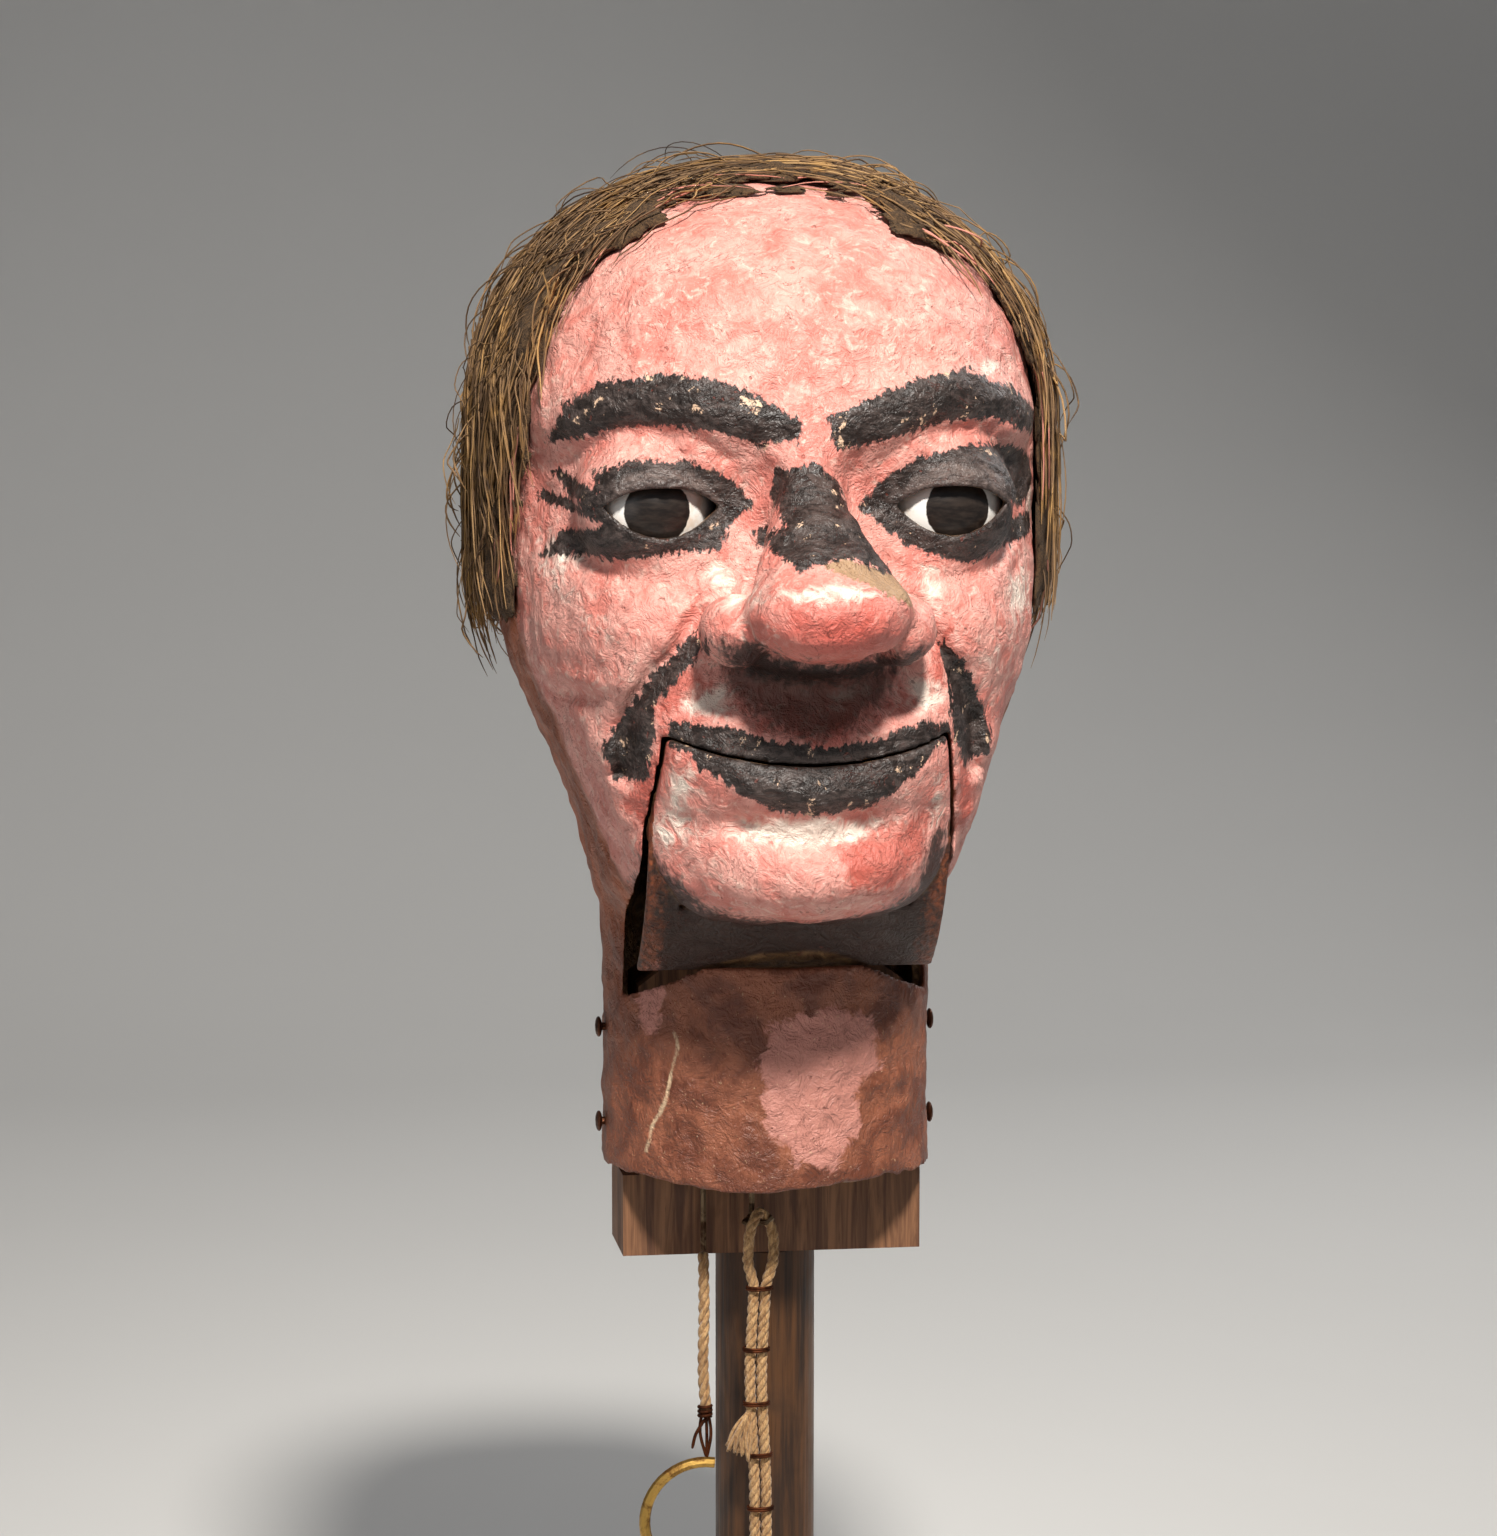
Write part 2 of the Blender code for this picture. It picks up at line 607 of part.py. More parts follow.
def helix(centre, radius, turns, length, per_turn=8):
    """Points down a coil from its top, with a short straight lead at each end."""
    count = turns * per_turn
    points = [Vector(centre) + Vector((0, 0, 3 * MM))]
    for i in range(count + 1):
        angle = 2 * math.pi * i / per_turn
        drop = length * i / count
        points.append(Vector(centre) + Vector((radius * math.cos(angle), radius * math.sin(angle), -drop)))
    return [*points, Vector(centre) + Vector((0, 0, -length - 3 * MM))]


def make_springs(steel, brass):
    jaw_coil = helix((0, 22 * MM, 311 * MM), 3.2 * MM, 11, 38 * MM)
    wire("jaw_return_spring", jaw_coil, 0.45 * MM, steel, resolution=0)
    anchor = [Vector((0, 3 * MM, 266 * MM)), Vector((0, 16 * MM, 266 * MM))]
    eye_loop = arc((0, 20 * MM, 266 * MM), 3 * MM, 180, -150, 14, "YZ")
    wire("spring_screw_eye", anchor + eye_loop, 0.9 * MM, brass)
    spring_top = (CRANK_X, -18.4 * MM, 335.4 * MM)
    wire("eye_centring_spring", helix(spring_top, 2.2 * MM, 9, 26 * MM), 0.4 * MM, steel, resolution=0)
    head, tip = (CRANK_X, -19.6 * MM, 300 * MM), (CRANK_X, -3 * MM, 300 * MM)
    screw("spring_anchor", head, tip, 1.4 * MM, 2.6 * MM, 1.6 * MM, brass)


# The eyes and what turns them


def make_eyes(eye_paint, brass, steel):
    for name, side in (("left", -1), ("right", 1)):
        centre = Vector((side * EYE_X, EYE_Y, EYE_Z))
        globe = ball(f"eyeball_{name}", centre, (EYE_RADIUS,) * 3, eye_paint, 32, 20)
        top, bottom = centre + Vector((0, 0, 0.02)), centre - Vector((0, 0, 0.02))
        boolean(globe, rod(f"eye_bore_{name}", top, bottom, 1.6 * MM, steel, 14))
        low = centre + Vector((-3.4, 9.5, -1.4)) * MM
        high = centre + Vector((3.4, 20, 1.4)) * MM
        boolean(globe, block(f"eye_slot_{name}", low, high, steel))
        low = centre + Vector((-3, 9.9, -1)) * MM
        high = Vector((centre.x + 3 * MM, TIE_Y + 3 * MM, centre.z + 1 * MM))
        arm = block(f"eye_arm_{name}", low, high, brass)
        pivot = Vector((centre.x, TIE_Y, centre.z))
        stud_top = pivot + Vector((0, 0, 4.6 * MM))
        boolean(arm, rod(f"eye_stud_{name}", pivot, stud_top, 1.1 * MM, brass, 12), "UNION")
        pin_top, pin_bottom = centre + Vector((0, 0, 22 * MM)), centre - Vector((0, 0, 21.5 * MM))
        rod(f"eye_pin_{name}", pin_bottom, pin_top, 1.2 * MM, steel, 12)


def make_eye_frame(wood, brass):
    """The shelf under the eyes, the bridge over them and the posts between."""
    half = [(31, -57.5), (40.5, -51), (40.5, -42), (20, -22), (20, 12)]
    outline = [(x * MM, y * MM) for x, y in half] + [(-x * MM, y * MM) for x, y in reversed(half)]
    shelf_low, shelf_high = BOARD_TOP + GAP, 363.2 * MM
    shelf = prism("eye_shelf", outline, "Z", shelf_low, shelf_high, wood)
    notch_low = (CRANK_X - 13 * MM, -21.5 * MM, 350 * MM)
    notch_high = (CRANK_X + 13 * MM, -12.8 * MM, 370 * MM)
    boolean(shelf, block("crank_notch", notch_low, notch_high, wood))
    bridge_low, bridge_high = (-38.5 * MM, -53.5 * MM, 397.2 * MM), (38.5 * MM, -46 * MM, 399.7 * MM)
    bridge = block("eye_bridge", bridge_low, bridge_high, wood)
    for side in (-1, 1):
        x = side * EYE_X
        for timber, low, high in ((shelf, 350 * MM, 370 * MM), (bridge, 390 * MM, 410 * MM)):
            hole = rod(f"{timber.name}_pin_hole", (x, EYE_Y, low), (x, EYE_Y, high), 1.5 * MM, wood, 12)
            boolean(timber, hole)
        screw_x = side * 12 * MM
        hole = rod("shelf_screw_hole", (screw_x, 0, 350 * MM), (screw_x, 0, 370 * MM), 1.8 * MM, wood, 12)
        boolean(shelf, hole)
    for name, side in (("left", -1), ("right", 1)):
        x = side * 12 * MM
        post_foot, post_top = (x, -50 * MM, shelf_high + GAP), (x, -50 * MM, bridge_low[2] - GAP)
        rod(f"eye_post_{name}", post_foot, post_top, 3 * MM, wood)
        head, tip = (x, 0, shelf_high + GAP), (x, 0, BOARD_TOP - 12 * MM)
        screw(f"shelf_screw_{name}", head, tip, 1.4 * MM, 3.4 * MM, 1.8 * MM, brass)


def make_eye_links(brass):
    """The tie rod between the eyes' arms and the bell crank that moves it."""
    low, high = EYE_Z + 1.6 * MM, EYE_Z + 3.0 * MM
    tie_outline = []
    for side, start in ((1, -90), (-1, 90)):
        tie_outline += [
            (p.x, p.y) for p in arc((side * EYE_X, TIE_Y, 0), 4.3 * MM, start, start + 180, 8, "XY")
        ]
    tie = prism("eye_tie_rod", tie_outline, "Z", low, high, brass)
    for side in (-1, 1):
        x = side * EYE_X
        slot = [(p.x, p.y) for p in arc((x, TIE_Y + 0.2 * MM, 0), 1.5 * MM, 0, 180, 7, "XY")]
        slot += [(p.x, p.y) for p in arc((x, TIE_Y - 1.3 * MM, 0), 1.5 * MM, 180, 360, 7, "XY")]
        boolean(tie, prism("tie_slot", slot, "Z", low - 2 * MM, high + 2 * MM, brass))
    drive = rod(
        "tie_drive_pin",
        (CRANK_X, TIE_Y, (low + high) / 2),
        (CRANK_X, -13.6 * MM, (low + high) / 2),
        1 * MM,
        brass,
        10,
    )
    boolean(tie, drive, "UNION")

    crank_outline = [(p.x, p.z) for p in arc((CRANK_X, 0, CRANK_Z), 4.2 * MM, 20, 70, 3)]
    crank_outline += [
        (CRANK_X + 3.4 * MM, 389 * MM),
        (CRANK_X + 1.6 * MM, 389 * MM),
        (CRANK_X + 1.6 * MM, 376 * MM),
        (CRANK_X - 1.6 * MM, 376 * MM),
        (CRANK_X - 1.6 * MM, 389 * MM),
        (CRANK_X - 3.4 * MM, 389 * MM),
    ]
    crank_outline += [(p.x, p.z) for p in arc((EYE_WIRE_X, 0, CRANK_Z), 2.6 * MM, 90, 270, 6)]
    crank_outline += [
        (CRANK_X - 3 * MM, CRANK_Z - 3.4 * MM),
        (CRANK_X - 1.6 * MM, 339 * MM),
        (CRANK_X + 1.6 * MM, 339 * MM),
        (CRANK_X + 3.4 * MM, CRANK_Z - 3 * MM),
    ]
    crank = prism("eye_bell_crank", crank_outline, "Y", -19.5 * MM, -17.3 * MM, brass)
    bore_from, bore_to = (CRANK_X, -25 * MM, CRANK_Z), (CRANK_X, -5 * MM, CRANK_Z)
    boolean(crank, rod("crank_bore", bore_from, bore_to, 1.8 * MM, brass, 14))
    pin_start, pin_end = (EYE_WIRE_X, -18 * MM, CRANK_Z), (EYE_WIRE_X, -13.4 * MM, CRANK_Z)
    pull_pin = rod("crank_pull_pin", pin_start, pin_end, PULL_PIN_RADIUS, brass, 12)
    boolean(crank, pull_pin, "UNION")
    head, tip = (CRANK_X, -19.9 * MM, CRANK_Z), (CRANK_X, -3 * MM, CRANK_Z)
    screw("crank_screw", head, tip, 1.4 * MM, 3.2 * MM, 1.8 * MM, brass)
    washer_front, washer_back = (CRANK_X, -16.9 * MM, CRANK_Z), (CRANK_X, -12.9 * MM, CRANK_Z)
    washer = rod("crank_washer", washer_front, washer_back, 3.4 * MM, brass)
    boolean(washer, rod("washer_bore", bore_from, bore_to, 1.8 * MM, brass, 14))


# Pull wires, cords and finger rings


def make_pulls(steel, brass, cord):

    def down_from_loop(x, z, bottom):
        """A loop round a pull pin, then the wire straight down from under it."""
        loop = arc((x, WIRE_Y, z), 1.9 * MM, -30, 235, 14)
        return [*loop, Vector((x, WIRE_Y, z - 4 * MM)), Vector((x, WIRE_Y, bottom))]

    wire("jaw_pull_wire", down_from_loop(JAW_WIRE_X, JAW_AXIS_Z, 191.5 * MM), WIRE_RADIUS, steel)
    hook = [(-5.8, -16.8, 200.4), (-7.9, -19.2, 199.2), (-7.2, -20.6, 199.0), (-2.6, -20.6, 199.4)]
    hook = [Vector(p) * MM for p in (*hook, (-1.0, -20.4, 200.6))]
    eye_points = down_from_loop(EYE_WIRE_X, CRANK_Z, 203 * MM)
    wire("eye_pull_wire", eye_points + hook, WIRE_RADIUS, steel)

    route = [(-17.7, -15.3, 191.0), (-17.5, -15.2, 176), (-17.8, -15.4, 162), (-17.1, -15.3, 150.5)]
    route = [Vector(p) * MM for p in route]
    wire("jaw_cord", smooth_route(route, 6 * MM), CORD_RADIUS, cord, resolution=2)
    hook = arc(HOOK_CENTRE, HOOK_RADIUS, 80, 315, 30)
    wire("finger_hook", hook, RING_WIRE_RADIUS, brass, resolution=2)

    route = [(-3.8, -20.6, 196.6), (-4.4, -20.7, 180), (-5.3, -20.9, 160), (-4.2, -20.8, 135)]
    route = [Vector(p) * MM for p in (*route, (-4.0, -20.6, 112), (-4.2, -20.5, 96.6))]
    wire("eye_cord", smooth_route(route, 8 * MM), 2 * CORD_RADIUS, cord, resolution=2)
    ring = arc(RING_CENTRE, RING_RADIUS, 0, 360, 36)[:-1]
    wire("finger_ring", ring, RING_WIRE_RADIUS, brass, cyclic=True, resolution=2)


def make_wire_guides(steel):
    """Staples on the board's front that keep the pull wires in line."""
    for name, x in (("jaw", JAW_WIRE_X), ("eye", EYE_WIRE_X)):
        half, height = 2.2 * MM, 240 * MM
        back, front = -12.9 * MM, -18.2 * MM
        points = [
            Vector((x - half, back, height)),
            Vector((x - half, front, height)),
            Vector((x + half, front, height)),
            Vector((x + half, back, height)),
        ]
        wire(f"wire_staple_{name}", points, 0.6 * MM, steel)


# Hair


def make_wig(fibre):
    """A closed pad over the sides, top and back of the skull; the forehead stays bare."""
    grown = [(z + 5 * (z > 430), f - 6, w + 7, b + 7) for z, f, w, b in STATIONS if z > 335]
    wig = loft("hair_wig", grown, 0, fibre)
    close = [(z + 0.6 * (z > 430), f - 0.6, w + 0.6, b + 0.6) for z, f, w, b in STATIONS if z > 310]
    inner = loft("wig_hollow", close, 0, fibre)
    boolean(wig, inner)
    face = [(p.x, p.z) for p in arc((0, 0, 392 * MM), 1, 0, 360, 32)[:-1]]
    face = [(x * 61 * MM, 392 * MM + (z - 392 * MM) * 61 * MM) for x, z in face]
    boolean(wig, prism("forehead_cutter", face, "Y", -110 * MM, -19 * MM, fibre))
    low, high = (-0.1, -0.12, 0.30), (0.1, -34 * MM, 0.43)
    boolean(wig, block("temple_cutter", low, high, fibre))
    nape_mm = [(-120, 300), (120, 300), (120, 335), (20, 346), (-120, 362)]
    nape = [(y * MM, z * MM) for y, z in nape_mm]
    boolean(wig, prism("nape_cutter", nape, "X", -0.1, 0.1, fibre))


def hang_on_joint(name, pivot, pieces):
    """An empty on a joint's axis, which carries the pieces that move there."""
    joint = bpy.data.objects.new(name, None)
    bpy.context.scene.collection.objects.link(joint)
    joint.location = pivot
    for piece in pieces:
        bpy.data.objects[piece].parent = joint
        bpy.data.objects[piece].matrix_parent_inverse = Matrix.Translation(-Vector(pivot))


def hang_moving_pieces():
    jaw_bars = ["jaw_arm_left", "jaw_arm_right", "jaw_cross_bar", "jaw_tail_bar", "chin_block"]
    hang_on_joint("jaw_hinge", (0, 0, JAW_AXIS_Z), ["jaw_shell", "mouth_floor", "jaw_pull_pin", *jaw_bars])
    hang_on_joint("jaw_slide", (JAW_WIRE_X, WIRE_Y, JAW_AXIS_Z), ["jaw_pull_wire", "jaw_cord", "finger_hook"])
    for side, name in ((-1, "left"), (1, "right")):
        pivot = (side * EYE_X, EYE_Y, EYE_Z)
        hang_on_joint(f"{name}_eye_pivot", pivot, [f"eyeball_{name}", f"eye_arm_{name}"])
    hang_on_joint("tie_slide", (0, TIE_Y, EYE_Z), ["eye_tie_rod"])
    hang_on_joint("crank_pivot", (CRANK_X, WIRE_Y, CRANK_Z), ["eye_bell_crank"])
    hang_on_joint("eye_slide", (EYE_WIRE_X, WIRE_Y, CRANK_Z), ["eye_pull_wire", "eye_cord", "finger_ring"])


def main():
    clear_scene()
    flesh = material("flesh_paint", (0.72, 0.36, 0.31), 0.55)
    raw = material("raw_paper", (0.42, 0.30, 0.20), 0.85)
    wood = material("pine", (0.45, 0.28, 0.16), 0.7)
    dark_wood = material("stained_pole", (0.20, 0.11, 0.05), 0.5)
    steel = material("steel_wire", (0.32, 0.28, 0.25), 0.45, 0.9)
    brass = material("brass", (0.58, 0.42, 0.16), 0.4, 0.9)
    eye_paint = material("eye_paint", (0.85, 0.83, 0.78), 0.35)
    cotton = material("cotton_cord", (0.66, 0.56, 0.40), 0.9)
    hemp = material("hemp_hair", (0.28, 0.20, 0.10), 0.8)
    dark_red = material("mouth_paint", (0.16, 0.03, 0.03), 0.6)

    make_frame(wood, dark_wood, steel)
    make_shells(flesh, raw)
    make_jaw_shell(flesh, raw)
    floor = make_jaw_works(wood, steel)
    make_mouth_floor(floor, dark_red)
    make_tacks(steel)
    make_springs(steel, brass)
    make_eyes(eye_paint, brass, steel)
    make_eye_frame(wood, brass)
    make_eye_links(brass)
    make_wire_guides(steel)
    make_pulls(steel, brass, cotton)
    make_wig(hemp)
    hang_moving_pieces()


main()
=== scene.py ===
"""The looks of a ventriloquist puppet head on a stick: painted papier-mache, hemp hair, wood and cord.

Shapes are worked out in millimetres, in the frame of the CAD model, and made into meshes in metres.
The head, the jaw and the wig are each cut out of one distance field on a grid.
"""

import json

import bpy
import numpy as np
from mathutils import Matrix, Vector


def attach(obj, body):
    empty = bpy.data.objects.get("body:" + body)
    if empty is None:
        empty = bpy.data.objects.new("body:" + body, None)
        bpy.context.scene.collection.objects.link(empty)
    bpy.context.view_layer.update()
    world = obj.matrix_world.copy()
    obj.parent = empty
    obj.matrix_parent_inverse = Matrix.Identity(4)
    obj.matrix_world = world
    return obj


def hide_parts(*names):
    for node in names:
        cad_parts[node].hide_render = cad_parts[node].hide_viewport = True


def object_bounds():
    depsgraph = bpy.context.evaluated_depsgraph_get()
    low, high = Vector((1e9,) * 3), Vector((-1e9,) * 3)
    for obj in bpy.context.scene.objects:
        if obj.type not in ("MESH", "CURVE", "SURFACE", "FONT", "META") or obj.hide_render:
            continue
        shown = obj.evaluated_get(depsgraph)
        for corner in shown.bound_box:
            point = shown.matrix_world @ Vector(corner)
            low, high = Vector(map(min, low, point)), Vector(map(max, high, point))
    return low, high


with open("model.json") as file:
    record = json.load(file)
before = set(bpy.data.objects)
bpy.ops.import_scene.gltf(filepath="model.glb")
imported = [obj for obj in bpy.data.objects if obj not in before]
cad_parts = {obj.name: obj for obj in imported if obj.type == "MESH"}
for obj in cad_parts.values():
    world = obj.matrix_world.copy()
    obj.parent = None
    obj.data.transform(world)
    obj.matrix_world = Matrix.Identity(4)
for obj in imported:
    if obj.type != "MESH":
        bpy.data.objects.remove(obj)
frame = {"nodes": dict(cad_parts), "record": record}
CAD_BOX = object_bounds()
NODES = frame["nodes"]

MM = 0.001
SEED = 11

# The main view, from the front and a little to the viewer's left
CAMERA_PLACE = (-0.16294, -1.12975, 0.45065)
CAMERA_TURN_DEG = (83.0, 0.0, -8.0)
LENS_MM = 107.8

JAW_AXIS_Z = 318.0
EYE_CENTRES = {"left": (-34.5, -50.5, 379.0), "right": (34.5, -50.5, 379.0)}
EYE_RADIUS = 15.0
LID_RADIUS, UPPER_LID_RISE = 17.6, 1.0
LID_CORNER_Z, UPPER_GAP, LOWER_GAP, GAP_HALF_WIDTH = 380.2, 4.5, 7.1, 13.6
IRIS_OFFSETS, IRIS_Z = {"left": -0.2, "right": 2.2}, 379.2
WALL = 4.0
NECK_RIM_Z = 212.4
HATCH_Z, HATCH_HALF = 380, (24.6, 28.6)
NAPE_Z = 346


# --- Camera, lights and floor ---------------------------------------------------------------------


def add_camera():
    camera = bpy.data.objects.new("camera", bpy.data.cameras.new("camera"))
    bpy.context.scene.collection.objects.link(camera)
    camera.location = CAMERA_PLACE
    camera.rotation_euler = np.radians(CAMERA_TURN_DEG)
    camera.data.lens = LENS_MM
    camera.data.sensor_width = 36.0
    camera.data.clip_start = 0.01
    bpy.context.scene.camera = camera


def add_area_light(name, place, target, size, power, colour=(1, 1, 1), spread_deg=180):
    data = bpy.data.lights.new(name, "AREA")
    data.spread = np.radians(spread_deg)
    data.shape, data.size, data.energy, data.color = "DISK", size, power, colour
    light = bpy.data.objects.new(name, data)
    bpy.context.scene.collection.objects.link(light)
    from_target = np.subtract(place, target)
    light.location = place
    light.rotation_euler = Vector(from_target).to_track_quat("Z", "Y").to_euler()


def add_studio():
    world = bpy.data.worlds.new("studio")
    bpy.context.scene.world = world
    world.use_nodes = True
    background = world.node_tree.nodes["Background"]
    background.inputs["Color"].default_value = (0.93, 0.95, 1.0, 1)
    background.inputs["Strength"].default_value = 0.15
    head = (0.0, 0.0, 0.36)
    add_area_light("key", (0.04, -1.1, 1.54), head, 0.2, 4.6, (1.0, 0.96, 0.9), 60)
    add_area_light("fill", (-1.3, -1.1, 0.6), head, 1.2, 3.0)
    add_area_light("rim", (0.9, 0.9, 1.1), head, 0.9, 7)
    bpy.context.scene.view_settings.view_transform = "Standard"


# --- Meshes and fields ----------------------------------------------------------------------------


def make_object(name, vertices_mm, quads, mat):
    """A smoothly shaded mesh object from points in mm and faces that all have as many corners."""
    mesh = bpy.data.meshes.new(name)
    corners = quads.shape[1]
    mesh.vertices.add(len(vertices_mm))
    mesh.vertices.foreach_set("co", (np.asarray(vertices_mm, dtype=np.float32) * MM).ravel())
    mesh.loops.add(quads.size)
    mesh.loops.foreach_set("vertex_index", quads.astype(np.int32).ravel())
    mesh.polygons.add(len(quads))
    mesh.polygons.foreach_set("loop_start", np.arange(len(quads), dtype=np.int32) * corners)
    mesh.update(calc_edges=True)
    mesh.polygons.foreach_set("use_smooth", np.full(len(quads), True))
    mesh.materials.append(mat)
    obj = bpy.data.objects.new(name, mesh)
    bpy.context.scene.collection.objects.link(obj)
    return obj


def give_attribute(obj, name, values):
    attribute = obj.data.attributes.new(name, "FLOAT", "POINT")
    attribute.data.foreach_set("value", np.asarray(values, dtype=np.float32))


LATTICE = np.random.default_rng(SEED).uniform(-1, 1, (64, 64, 64)).astype(np.float32)


def noise(points, size, seed=0):
    """Smooth noise from -1 to 1 at points in mm, whose bumps are about size mm wide."""
    place = np.asarray(points, dtype=np.float32) / size + np.float32(500.3 + 13.7 * seed)
    cell = np.floor(place).astype(np.int32)
    part = place - cell
    part = part * part * (3 - 2 * part)
    total = np.zeros(len(place), dtype=np.float32)
    for corner in range(8):
        step = np.array([corner & 1, (corner >> 1) & 1, corner >> 2])
        share = np.prod(np.where(step, part, 1 - part), axis=1)
        index = (cell + step) & 63
        total += share * LATTICE[index[:, 0], index[:, 1], index[:, 2]]
    return total


def ramp(x, low, high):
    """0 below low, 1 above high, and a smooth rise between them."""
    t = np.clip((x - low) / (high - low), 0, 1)
    return t * t * (3 - 2 * t)


def smooth_min(a, b, reach):
    """The union of two fields, rounded over reach where they meet."""
    overlap = np.maximum(reach - np.abs(a - b), 0) / reach
    return np.minimum(a, b) - overlap * overlap * reach / 4


def smooth_max(a, b, reach):
    return -smooth_min(-a, -b, reach)


def polygon_field(x, z, outline):
    """Signed distance from points to a closed outline in X and Z: negative inside."""
    best = np.full(np.shape(x), 1e9)
    inside = np.zeros(np.shape(x), dtype=bool)
    for (x0, z0), (x1, z1) in zip(outline, outline[1:] + outline[:1]):
        dx, dz = x1 - x0, z1 - z0
        along = np.clip(((x - x0) * dx + (z - z0) * dz) / max(dx * dx + dz * dz, 1e-9), 0, 1)
        best = np.minimum(best, (x - x0 - along * dx) ** 2 + (z - z0 - along * dz) ** 2)
        if z0 != z1:
            crosses = ((z0 <= z) != (z1 <= z)) & (x < x0 + (z - z0) * dx / dz)
            inside ^= crosses
    return np.where(inside, -1, 1) * np.sqrt(best)


def stroke_field(x, z, line, half_width):
    """Distance in X and Z from a line, less half its width, which may be one for each point."""
    best = np.full(np.shape(x), 1e9)
    widths = np.broadcast_to(half_width, len(line))
    for i in range(len(line) - 1):
        (x0, z0), (x1, z1) = line[i], line[i + 1]
        dx, dz = x1 - x0, z1 - z0
        along = np.clip(((x - x0) * dx + (z - z0) * dz) / (dx * dx + dz * dz), 0, 1)
        distance = np.hypot(x - x0 - along * dx, z - z0 - along * dz)
        best = np.minimum(best, distance - (widths[i] + along * (widths[i + 1] - widths[i])))
    return best


class Grid:
    """The box of points round the head on which the fields are worked out."""

    low = np.array([-80.0, -120.0, 204.0])
    high = np.array([80.0, 100.0, 472.0])

    def __init__(self, step):
        self.step = step
        self.count = np.ceil((self.high - self.low) / step).astype(int) + 1
        axes = [self.low[i] + step * np.arange(self.count[i]) for i in range(3)]
        self.x = axes[0][:, None, None].astype(np.float32)
        self.y = axes[1][None, :, None].astype(np.float32)
        self.z = axes[2][None, None, :].astype(np.float32)

    def patch(self, low, high):
        """Index slices of a smaller box, and its X, Y and Z."""
        first = np.maximum(((np.array(low) - self.low) / self.step).astype(int), 0)
        last = np.minimum(((np.array(high) - self.low) / self.step).astype(int) + 2, self.count)
        cut = tuple(slice(a, b) for a, b in zip(first, last))
        return cut, self.x[cut[0]], self.y[:, cut[1]], self.z[:, :, cut[2]]

    def points(self, mask):
        """Where the grid points of a mask are, in mm."""
        return self.low + np.argwhere(mask) * self.step

    def sample(self, field, points):
        """The field at any points, read between its grid points."""
        place = np.clip((points - self.low) / self.step, 0, self.count - 1.001)
        cell = place.astype(int)
        part = place - cell
        total = np.zeros(len(points))
        for corner in range(8):
            step = np.array([corner & 1, (corner >> 1) & 1, corner >> 2])
            share = np.prod(np.where(step, part, 1 - part), axis=1)
            index = cell + step
            total += share * field[index[:, 0], index[:, 1], index[:, 2]]
        return total

    def slope(self, field, points):
        """The field's direction of rise at any points, one long."""
        out = np.zeros_like(points)
        for i in range(3):
            ahead, behind = points.copy(), points.copy()
            ahead[:, i] += self.step
            behind[:, i] -= self.step
            out[:, i] = self.sample(field, ahead) - self.sample(field, behind)
        return out / np.maximum(np.linalg.norm(out, axis=1, keepdims=True), 1e-6)

    def surface(self, field):
        """The surface where the field is zero, as points and four-cornered faces (surface nets)."""
        inside = field < 0
        places, cells = [], []
        stride = np.array([self.count[1] * self.count[2], self.count[2], 1])
        for axis in range(3):
            ahead = [slice(None)] * 3
            behind = [slice(None)] * 3
            ahead[axis], behind[axis] = slice(1, None), slice(None, -1)
            start = np.argwhere(inside[tuple(ahead)] != inside[tuple(behind)])
            end = start.copy()
            end[:, axis] += 1
            f0 = field[start[:, 0], start[:, 1], start[:, 2]]
            f1 = field[end[:, 0], end[:, 1], end[:, 2]]
            place = start.astype(float)
            place[:, axis] += f0 / (f0 - f1)
            flat = start @ stride
            u, v = stride[(axis + 1) % 3], stride[(axis + 2) % 3]
            around = np.stack([flat - u - v, flat - v, flat, flat - u], axis=1)
            around[f0 >= 0] = around[f0 >= 0][:, ::-1]
            cells.append(around)
            places.append(np.repeat(place[:, None], 4, axis=1))
        cells = np.concatenate(cells)
        places = np.concatenate(places).reshape(-1, 3)
        index = np.unique(cells.ravel(), return_inverse=True)[1]
        counts = np.bincount(index)
        vertices = np.stack([np.bincount(index, places[:, i]) / counts for i in range(3)], axis=1)
        return vertices * self.step + self.low, index.reshape(-1, 4)


# --- The head's form ------------------------------------------------------------------------------

# The crown is half an egg that stands on the topmost level
DOME_FOOT, DOME_HEIGHT, DOME_CURVE = 396.0, 60.5, 2.15

# Levels of the head below the crown: height, front, half the width, back
STATIONS = (
    (396, -71, 65.5, 87),
    (384, -70, 66, 87),
    (372, -70, 66, 86),
    (360, -71, 66, 83),
    (348, -73, 65, 79),
    (338, -76, 62.5, 73),
    (330, -79, 59.5, 68),
    (322, -81, 56, 62),
    (314, -82, 52.5, 57),
    (306, -79.5, 49.5, 52),
    (298, -81, 47, 48.5),
    (290, -79, 45, 45.5),
    (285, -74, 43.5, 44),
    (281.5, -62, 42.5, 43),
    (279.5, -48, 42, 42.5),
    (274, -42.5, 41.5, 42),
    (262, -41, 40.8, 41),
    (244, -40.5, 40.3, 40.5),
    (226, -40.8, 40.5, 40.8),
    (200, -42, 41.8, 42),
)


def station_profile(z, column, blur=1.6):
    """One of the head's measures at any height, with the corners between the levels rounded."""
    levels = np.array(STATIONS[::-1])
    offsets = np.linspace(-2.5, 2.5, 11)
    weights = np.exp(-(offsets**2) / 2)
    heights, values = levels[:, 0], levels[:, column]
    total = sum(w * np.interp(z + o * blur, heights, values) for w, o in zip(weights, offsets))
    return (total / weights.sum()).astype(np.float32)


